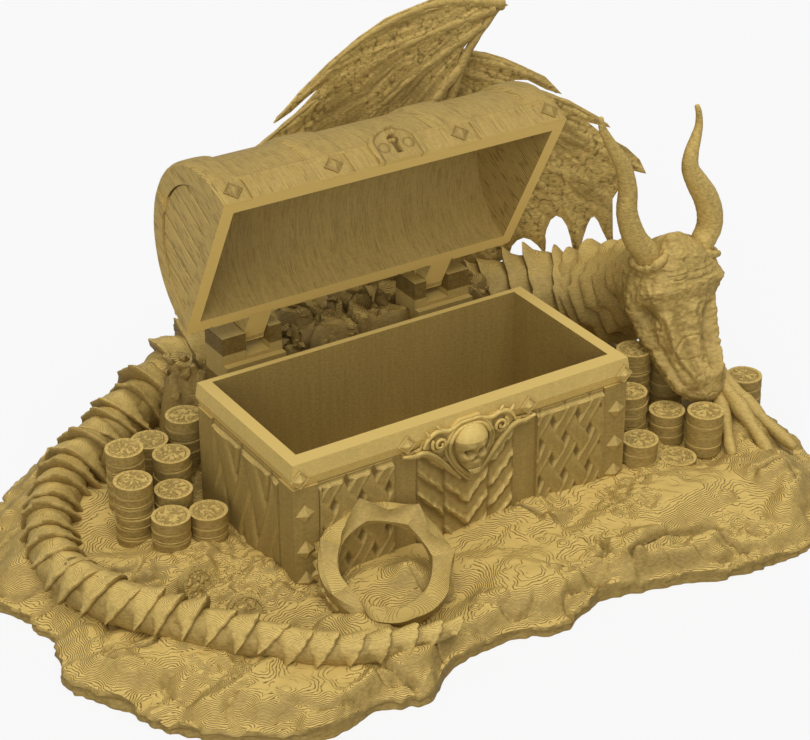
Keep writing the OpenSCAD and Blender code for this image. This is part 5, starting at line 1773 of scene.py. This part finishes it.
@dataclass
class DragonHead:
    """Craggy horned skull that rests its snout on a pile of coins."""

    rows: int = 190
    sides: int = 190
    brow_x: float = 84.0
    head_y: float = 2.0
    head_z: float = 46.0
    horn_d: float = 6.8

    # centre x, y, z, half width, half depth, from the crown to the snout's tip
    stations: tuple = ((83, 2, 57, 1.6, 1.2), (83.2, 1.6, 56.2, 3.8, 3.2), (84, 1.5, 53.4, 7.4, 6.2),
        (84, 2, 49, 11.6, 8.6), (83.8, 1.8, 44, 13.2, 10), (83.3, 0.2, 38.5, 12.8, 9.6),
        (82.8, -2.4, 33, 11.2, 8.6), (82.4, -6.2, 28, 9.8, 7.2), (82.2, -10.2, 24, 8.8, 6),
        (82.1, -13.8, 20.8, 8.2, 5.2), (82.4, -16.6, 18.4, 6.3, 4), (82.8, -19, 16.8, 3.3, 2),
        (82.9, -19.7, 16.4, 1, 0.6))
    # sideways from the middle of the brows, up, share of the thickness
    left_horn: tuple = ((-7.8, 1.5, 1), (-8.6, 4.4, 1), (-10.2, 8.4, 1), (-14.2, 13.6, 0.96),
        (-17.2, 21.4, 0.84), (-17.4, 28, 0.76), (-18.8, 34, 0.66), (-20.7, 37.8, 0.58), (-23.8, 42.6, 0.44),
        (-26.6, 47.4, 0.3), (-27.4, 50.6, 0.2))
    right_horn: tuple = ((7.4, 0, 1), (8, 2, 1), (9.5, 6.4, 1), (11.4, 10.4, 1.04), (11.2, 15, 1.04),
        (9.2, 20, 1), (6.3, 24.4, 0.9), (3.4, 29.4, 0.7), (3.4, 33.8, 0.58), (4.5, 37.8, 0.44),
        (5.3, 41.2, 0.32), (5, 44.8, 0.25), (4.2, 47, 0.2))

    def skull(self) -> Shell:
        """The head as rings from the crown to the tip of the snout."""
        knots = np.array(self.stations, float)
        u = np.linspace(0, len(knots) - 1, self.rows)
        line = spline(knots, u)
        t = u / (len(knots) - 1)
        ahead = np.gradient(line[:, :3], axis=0)
        ahead[:, 0] = 0
        ahead /= np.linalg.norm(ahead, axis=1)[:, None]
        side = np.array([1.0, 0, 0])
        face = np.cross(side, ahead)
        face *= np.sign(-face[:, 1:2] + 1e-9)
        turn = full_turn(self.sides)
        a = turn[None, :] + 0 * t[:, None]
        tt = t[:, None] + 0 * a
        c, s = np.cos(a), np.sin(a)
        boxy = (np.abs(c) ** 2.7 + np.abs(s) ** 2.7) ** (-1 / 2.7)
        wide = line[:, 3:4] * boxy * c
        deep = line[:, 4:5] * boxy * s
        base = (line[:, None, :3] + wide[:, :, None] * side + deep[:, :, None] * face[:, None, :])
        outward = (c[:, :, None] * side + s[:, :, None] * face[:, None, :])
        spot = base.reshape(-1, 3)
        shape = a.shape
        off = np.degrees(np.abs((a - math.pi / 2 + math.pi) % (2 * math.pi) - math.pi))
        body = np.clip(line[:, 3:4] / 9, 0.15, 1)

        def at(place: float, reach: float, angle: float, spread: float) -> Cloud:
            """Bell at a share of the length and an angle from the middle of the face."""
            return hump(tt - place, reach) * hump(off - angle, spread)

        forehead = at(0.20, 0.12, 0, 62)
        brow = at(0.345, 0.045, 48, 17)
        knob = hump(tt - 0.06, 0.05) * hump(a - 2.3, 0.5)
        eye = at(0.445, 0.038, 66, 15)
        ridges = smooth(tt, 0.42, 0.52) * (1 - smooth(tt, 0.74, 0.82))
        long = hump(off - (58 - 34 * tt) - 3 * np.sin(22 * tt), 6.5)
        mid = hump(off, 7) * smooth(tt, 0.40, 0.48) * (1 - smooth(tt, 0.62, 0.72))
        valley = hump(off - (34 - 20 * tt), 6) * ridges
        jaw = hump(off - 92 - 10 * np.sin(6 * tt), 11) * smooth(tt, 0.26, 0.36) * (1 - smooth(tt, 0.86, 0.95))
        under = hump(off - 70 - 8 * np.sin(6 * tt), 6) * smooth(tt, 0.42, 0.52) * (1 - smooth(tt, 0.84, 0.92))
        pad = at(0.80, 0.045, 24, 17)
        nostril = at(0.845, 0.016, 50, 9)
        mouth = hump(tt - 0.905 - 0.0005 * off, 0.009) * (1 - smooth(off, 70, 95))
        lip = hump(tt - 0.94, 0.02) * hump(off, 45)
        fold = at(0.245, 0.010, 14, 26) + 0.7 * at(0.285, 0.008, 0, 30) + 0.5 * at(0.215, 0.008, 30, 18)
        crag = Grain(6.0, 71, 2).at(spot).reshape(shape)
        crease = Grain(5.0, 73).creases(spot, 0.08).reshape(shape)
        chips = (0.55 * Grain(1.7, 79, 2).at(spot) + 0.6 * Grain(0.8, 80).at(spot)).reshape(shape)
        jags = np.abs(Grain(2.6, 83).at(columns(spot[:, 2] * 1.6, 0 * spot[:, 0], 0 * spot[:, 0]))).reshape(
            shape) * hump(off - 98, 12) * smooth(tt, 0.26, 0.36)
        rise = (0.5 * forehead + 1.4 * brow + 1.2 * knob + 1.7 * long * ridges + 1.3 * mid + 1.0 * jaw
            + 1.6 * pad + 0.9 * jags + 0.5 * lip - 2.6 * eye - 1.1 * valley - 0.4 * under - 1.2 * nostril
            - 0.8 * mouth - 0.5 * fold + 0.60 * crag - 0.45 * crease + 0.52 * chips)
        ring = base + outward * (rise * body)[:, :, None]
        # Painted shade in the eyes, under the jaw, in the nostrils, mouth, creases, folds and valleys, and a
        # little all over; the chips get painted light.
        painted_shade = np.clip(eye * 1.1 + under * 0.25 + nostril * 0.8 + mouth * 0.6 + 0.3 * crease + 0.5 * fold
            + 0.5 * valley - 0.45 * chips + 0.16, -0.3, 1.1)
        return lofted(ring, painted_shade)

    def horn(self, points: Sequence[Point], light: float) -> Shell:
        """A horn with fine growth rings.

        Args:
            points: Sideways from the middle of the brows, up, share of the thickness.
            light: How far its surface is lit over that of the head.

        Returns:
            The closed shell.
        """
        rows = np.array([(self.brow_x + p[0], self.head_y - 1, self.head_z + p[1], p[2] * self.horn_d / 2)
            for p in points], float)
        path = resampled(rows, 0.45)
        tip = path[-1].copy()
        tip[:3] += (path[-1] - path[-2])[:3] * 0.9
        tip[3] = 0.08
        path = np.vstack([path, tip])

        def rings(share: Cloud, _: Cloud) -> Cloud:
            """Growth rings that fade towards the tip."""
            return 0.05 * np.sin(share * len(path) * 0.45 * 2.6) * (1 - share)

        shell = tube(path[:, :3], path[:, 3], 32, swell=rings)
        # Painted light: the horn is made lighter than the head.
        shell.painted_shade = np.full(len(shell.points), -light)
        return shell

    def collar(self, x: float, z: float, lean: float, seed: int) -> Shell:
        """Rough raised ring round the foot of a horn.

        Args:
            x: Place of its middle.
            z: Height of its middle.
            lean: Sideways lean of the horn there.
            seed: Seed of its roughness.

        Returns:
            The closed shell.
        """
        steps, sides = 48, 12
        turn = full_turn(steps)
        ring = 4.5 + 0.25 * np.sin(3 * turn + seed)
        right = np.array([math.cos(lean), 0, -math.sin(lean)])
        path = (np.array([x, self.head_y - 1, z]) + (ring * np.cos(turn))[:, None] * right
            + (ring * np.sin(turn))[:, None] * np.array([0, 1, 0]))
        up = np.cross(right, [0, 1, 0])
        outward = path - np.array([x, self.head_y - 1, z])
        outward /= np.linalg.norm(outward, axis=1)[:, None]
        angle = full_turn(sides)
        spot = np.repeat(path, sides, axis=0)
        thick = (1.05 + 1.0 * Grain(1.3, seed, 2).at(spot)).reshape(steps, sides)
        points = (path[:, None, :] + (thick * np.cos(angle))[:, :, None] * outward[:, None, :]
            + (thick * 1.1 * np.sin(angle))[:, :, None] * up)
        faces = [(k * sides + n, ((k + 1) % steps) * sides + n, ((k + 1) % steps) * sides + (n + 1) % sides,
            k * sides + (n + 1) % sides) for k in range(steps) for n in range(sides)]
        return Shell(points.reshape(-1, 3), faces).outward()

    def claws(self) -> list[Shell]:
        """Bones of the fore claw, knuckled, spread on the sand."""
        paths = (((90, -9, 14, 1), (93, -24, 6, 0.9), (95, -35, 1.5, 0.7), (95.6, -40, 0, 0.45)),
            ((90, -9, 13, 1), (89, -26, 6, 0.9), (88, -36, 1.5, 0.7), (86.6, -41, 0, 0.45)), ((90, -9, 12, 1),
            (84, -24, 5, 0.8), (80.4, -31, 1, 0.6), (79, -34, 0, 0.4)))
        shells = []
        for k, path in enumerate(paths):
            rows = resampled(grounded(path), 0.6)
            spot = rows[:, :3]
            knuckles = 1 + 0.16 * np.sin(np.linspace(0, 5 * math.pi, len(rows))) + 0.12 * Grain(2.2,
                90 + k).at(spot)
            radius = rows[:, 3] * 2.3 * knuckles
            radius[-1] = 0.15
            shells.append(tube(spot, radius, 20))
        return shells

    def build(self, shop: Workshop) -> None:
        """Makes the head, its horns and the claw."""
        collars = [self.collar(self.brow_x - 9.0, 52.4, -0.36, 3), self.collar(self.brow_x + 9.1, 50.4, 0.30,
            4)]
        shop.piece("horned_skull", [self.skull(), *collars], Finish.DRAGON, ["dragon_head"], sharp=60)
        for side, points, light in (("left", self.left_horn, 0.50), ("right", self.right_horn, 0.72)):
            shop.piece(f"horn_{side}", [self.horn(points, light)], Finish.DRAGON, [f"dragon_horn_{side}"],
                sharp=60)
        shop.piece("claw_bones", self.claws(), Finish.DRAGON, ["dragon_claws"], sharp=60)


@dataclass
class Wing:
    """One leathery wing: a veined membrane between its fingers."""

    name: str
    place: Place
    outline: Sequence[Point]
    fingers: Sequence[Sequence[Point]]
    hub: Pair
    thick: float = 1.6
    finger_d: float = 3.2
    pitch: float = 0.5
    seed: int = 7

    def paths(self) -> list[Cloud]:
        """Fingers as rows of along, height, 0 and radius."""
        out = []
        for k, finger in enumerate(self.fingers):
            wide = self.finger_d / 2 * (1.5 if k == 0 else 1.0)
            share = np.linspace(1, 0.3, len(finger))
            rows = np.array([(*p, 0.0, wide * s) for p, s in zip(finger, share)], float)
            out.append(resampled(rows, 0.7))
        return out

    def relief(self, points: Cloud, back: bool) -> tuple[Cloud, Cloud]:
        """Height and painted shade of a face of the membrane.

        Args:
            points: Rows of along and height.
            back: Whether it is the rear face.

        Returns:
            Height over the middle plane, and painted shade: along the grooves between veins, in streaks and in
            cracks, with painted light in the patches near the fingers.
        """
        away = points - np.array(self.hub)
        far = np.hypot(*away.T)
        angle = np.arctan2(away[:, 1], away[:, 0])
        spot = columns(points, np.full(len(points), 50.0 if back else 0.0))
        fan = columns(angle * 60 + 1.2 * Grain(9, self.seed).at(spot), far * 0.10, 0 * far)
        veins = Grain(0.9, self.seed + 1, 2).at(fan)
        folds = Grain(4.5, self.seed + 4).at(fan)
        skin = Grain(1.1, self.seed + 2, 2).at(spot)
        cracks = Grain(2.2, self.seed + 3, 2).creases(spot, 0.07)
        streaks = smooth(Grain(0.6, self.seed + 6).at(fan * np.array([2.2, 1.6, 1.0])), 0.25, 0.5)
        height = 0.72 + 0.32 * veins + 0.24 * folds + 0.10 * skin
        patch = smooth(Grain(7, self.seed + 5).at(fan * np.array([1.0, 1.6, 1.0])), 0.22, 0.42)
        for k, path in enumerate(self.paths()):
            nearest = np.linalg.norm(points[:, None, :] - path[None, ::3, :2], axis=2).min(axis=1)
            height += (k > 0) * 0.45 * hump(nearest, 2.0)
            patch += (hump(nearest - 5.0, 3.2) * (1.1 + 0.5 * np.sin(0.3 * far)) if k == 1 else hump(nearest
                - 3.2, 1.8) * (0.6 + 0.6 * np.sin(0.35 * far + k)))
        patch = np.clip(patch, 0, 1)
        # Painted shade along the veins' grooves, in streaks and in cracks, and painted light in the patches
        # near the fingers.
        painted_shade = (0.5 * smooth(-veins, 0.0, 0.3) + 0.5 * streaks - 0.16) * (1 - 0.7 * patch) + patch * (
            2.2 * cracks - 0.86)
        return np.clip(height, 0.2, 1.7) * self.thick / 1.6, painted_shade

    def membrane(self) -> Shell:
        """The membrane, thinned to its edge."""
        rim = straightened(self.outline, 0.8)
        flat = Flat.inside(rim, self.pitch, self.seed)
        nearest = np.full(len(flat.points), np.inf)
        for k in range(0, len(flat.points), 2000):
            part = flat.points[k:k + 2000]
            nearest[k:k + 2000] = np.linalg.norm(part[:, None, :] - rim[None], axis=2).min(axis=1)
        thin = 0.3 + 0.7 * smooth(nearest, 0, 2.2)
        front, painted_shade = self.relief(flat.points, False)
        rear, _ = self.relief(flat.points, True)
        return flat.raised(front * thin, -rear * thin, painted_shade).moved(self.place.put)

    def bones(self) -> list[Shell]:
        """The fingers, knotted along their length."""
        def knobs(share: Cloud, angle: Cloud) -> Cloud:
            """Small knobs that fade towards the tip."""
            return 0.16 * Grain(0.8, 9).at(wrapped(share, angle, 30, 1.5)).reshape(share.shape) * (1 - share)

        shells = []
        for k, path in enumerate(self.paths()):
            run = np.arange(len(path)) * 0.7
            knots = 1 + 0.10 * np.sin(run * 0.9 + k) + 0.10 * Grain(3, 40 + k).at(columns(run, 0 * run,
                0 * run))
            radius = path[:, 3] * knots
            radius[-1] = 0.2
            line = columns(path[:, :2], 0 * path[:, 0])
            shells.append(tube(line, radius, 16, swell=knobs).moved(self.place.put))
        return shells

    def build(self, shop: Workshop) -> None:
        """Makes the wing."""
        shop.piece(f"{self.name}_skin", [self.membrane()], Finish.DRAGON, [f"{self.name}_membrane"], sharp=50)
        shop.piece(f"{self.name}_bones", self.bones(), Finish.DRAGON, [f"{self.name}_fingers"], sharp=60)


def upright(x: float, y: float, turn: float) -> Place:
    """A plane that stands on its root line and swings about it."""
    right = (*cos_sin(turn), 0.0)
    return Place((x, y, GROUND_Z), right, (0, 0, 1), tuple(np.cross(right, (0, 0, 1))))


LEFT_WING = Wing("wing_left", upright(0, 63, 0), ((-3.7, 80), (4.5, 87), (13.4, 93.2), (22.6, 98.4),
    (31.4, 102.2), (45.3, 104.6), (56.7, 104.7), (66, 102), (71, 98.3), (66, 97.6), (63, 95.7), (60, 93.4),
    (57.6, 90), (55.4, 88), (50, 74), (46, 50), (44, 30), (44, 12), (32, 10), (24, 24), (14, 22), (8, 36),
    (-4, 36), (-4, 50), (-16, 52), (-12, 62), (-19, 69), (-11, 73.7), (-6, 76), (-1, 78.5), (4.4, 82),
    (11.3, 87.5), (6.3, 85), (1.3, 82)), (((42, 14), (46, 50), (56, 84), (69, 99)), ((69, 99), (46, 103),
    (22, 97), (-3, 80.6)), ((66, 98), (40, 94), (14, 86), (-16, 70)), ((62, 94), (36, 82), (12, 66),
    (-14, 53)), ((56, 84), (36, 66), (16, 50), (-3, 37))), hub=(72, 104), seed=7)
RIGHT_WING = Wing("wing_right", upright(66, 66, -25), ((-18, 14), (-6, 12), (2, 18), (8, 20.8), (8.8, 24.2),
    (10.3, 26), (12.2, 26.7), (14.2, 26), (16.4, 24), (19, 20.5), (18.4, 25), (18.9, 29), (20.1, 32),
    (21.6, 33.2), (23.3, 32.4), (25, 29.6), (26.2, 25.8), (27.2, 21.3), (29, 21.2), (29.9, 25.4), (31, 29.4),
    (32, 31.8), (33, 32.2), (34.2, 30.6), (35.6, 27.4), (37.4, 23.8), (39, 21.4), (38.2, 37.5), (39.7, 40.2),
    (43.6, 46.3), (47.8, 45), (45.7, 49.4), (41.7, 53.4), (34.2, 58.2), (29.8, 62), (36.6, 60), (32.8, 63.5),
    (25, 68.4), (15, 72), (8.3, 74.4), (8.3, 76), (12, 75.8), (17.4, 72.7), (22, 71), (17.2, 76.3),
    (10.4, 80), (5.2, 82.6), (0, 84.5), (-7.5, 85.7), (-18, 86.6), (-25, 84), (-29, 66), (-27, 40)),
    (((-17, 16), (-26, 40), (-28, 64), (-22, 84)), ((-22, 84), (-8, 85), (8, 80), (21, 71.4)),
    ((-22, 84), (2, 76), (22, 69), (36, 60.4)), ((-22, 84), (8, 64), (32, 54), (47, 45.4)),
    ((-22, 84), (4, 58), (24, 46), (36, 36), (38.6, 24)), ((-22, 84), (-2, 58), (16, 44), (25.6, 33),
    (28, 23)), ((-22, 84), (-10, 58), (6, 42), (16.5, 30), (18.6, 22))), hub=(-26, 90), seed=17)


# ---- Scene ----

@dataclass(frozen=True)
class Studio:
    """Camera, lamps and floor."""

    camera_at: Triple = (-0.2625, -0.4059, 0.3091)
    pitch: float = 29.02
    yaw: float = 32.6
    focal_px: float = 2183.285
    frame_px: float = 810.0
    sensor: float = 36.0
    sky: float = 0.40
    key: float = 1.5
    key_turn: Triple = (20.0, -8.0, 0.0)
    fill: float = 1.05
    fill_turn: Triple = (72.0, 0.0, -44.0)
    lamp_spread: float = 50.0
    floor_half: float = 2.0
    floor_glow: float = 1.08
    floor_share: float = 0.78

    def build(self) -> None:
        """Makes the camera, lamps, world and floor."""
        scene = bpy.context.scene
        camera = bpy.data.cameras.new("camera")
        camera.sensor_width = self.sensor
        camera.lens = self.focal_px * self.sensor / self.frame_px
        item = bpy.data.objects.new("camera", camera)
        item.location = self.camera_at
        item.rotation_euler = (math.radians(90 - self.pitch), 0, math.radians(-self.yaw))
        scene.collection.objects.link(item)
        scene.camera = item
        for name, energy, turn in (("soft_key", self.key, self.key_turn), ("front_fill", self.fill,
                self.fill_turn)):
            lamp = bpy.data.lights.new(name, "SUN")
            lamp.energy = energy
            lamp.angle = math.radians(self.lamp_spread)
            item = bpy.data.objects.new(name, lamp)
            item.rotation_euler = tuple(math.radians(v) for v in turn)
            scene.collection.objects.link(item)
        world = bpy.data.worlds.new("studio")
        scene.world = world
        net = ShaderTree(world)
        plain = net.add("ShaderNodeBackground", None, {"Color": WHITE, "Strength": self.sky})
        white = net.add("ShaderNodeBackground", None, {"Color": WHITE})
        ray = net.add("ShaderNodeLightPath", out="Is Camera Ray")
        net.add("ShaderNodeOutputWorld", None, {"Surface": net.add("ShaderNodeMixShader", None,
            (ray, plain, white))})
        scene.view_settings.view_transform = "Standard"
        self._floor()

    def _floor(self) -> None:
        """A plain white floor that keeps the object's shadow."""
        mesh = bpy.data.meshes.new("floor")
        half = self.floor_half
        mesh.from_pydata([(-half, -half, 0), (half, -half, 0), (half, half, 0), (-half, half, 0)], [],
            [(0, 1, 2, 3)])
        material = bpy.data.materials.new("pale_floor")
        net = ShaderTree(material)
        matte = net.add("ShaderNodeBsdfDiffuse", None, {"Color": (0.5, 0.5, 0.5, 1)})
        glow = net.add("ShaderNodeEmission", None, {"Color": WHITE, "Strength": self.floor_glow})
        ray = Num(net, net.add("ShaderNodeLightPath", out="Is Camera Ray"))
        net.add("ShaderNodeOutputMaterial", None, {"Surface": net.add("ShaderNodeMixShader", None,
            (ray * self.floor_share, matte, glow))})
        mesh.materials.append(material)
        floor = bpy.data.objects.new("floor", mesh)
        bpy.context.scene.collection.objects.link(floor)


def main() -> None:
    """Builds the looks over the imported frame, piece by piece."""
    logging.basicConfig(level=logging.INFO, format="%(message)s")
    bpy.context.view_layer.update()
    Studio().build()
    shop = Workshop()
    shop.dress(["chest_box", "chest_rim_band", "chest_corner_posts", "hinge_bracket_left",
        "hinge_bracket_right", "hinge_pin_left", "hinge_pin_right"], Finish.CHEST)
    shop.dress(["lid_shell", "lid_edge_band", "hinge_arm_left", "hinge_arm_right"], Finish.LID)
    SandyGround().build(shop)
    Rubble().build(shop)
    CoinPiles().build(shop)
    LeaningRing().build(shop)
    fronts = ChestFronts()
    fronts.build(shop)
    Crest().build(shop)
    LidDetails().build(shop, fronts.stud())
    DragonBody().build(shop)
    DragonHead().build(shop)
    LEFT_WING.build(shop)
    RIGHT_WING.build(shop)


if __name__ == "__main__":
    main()
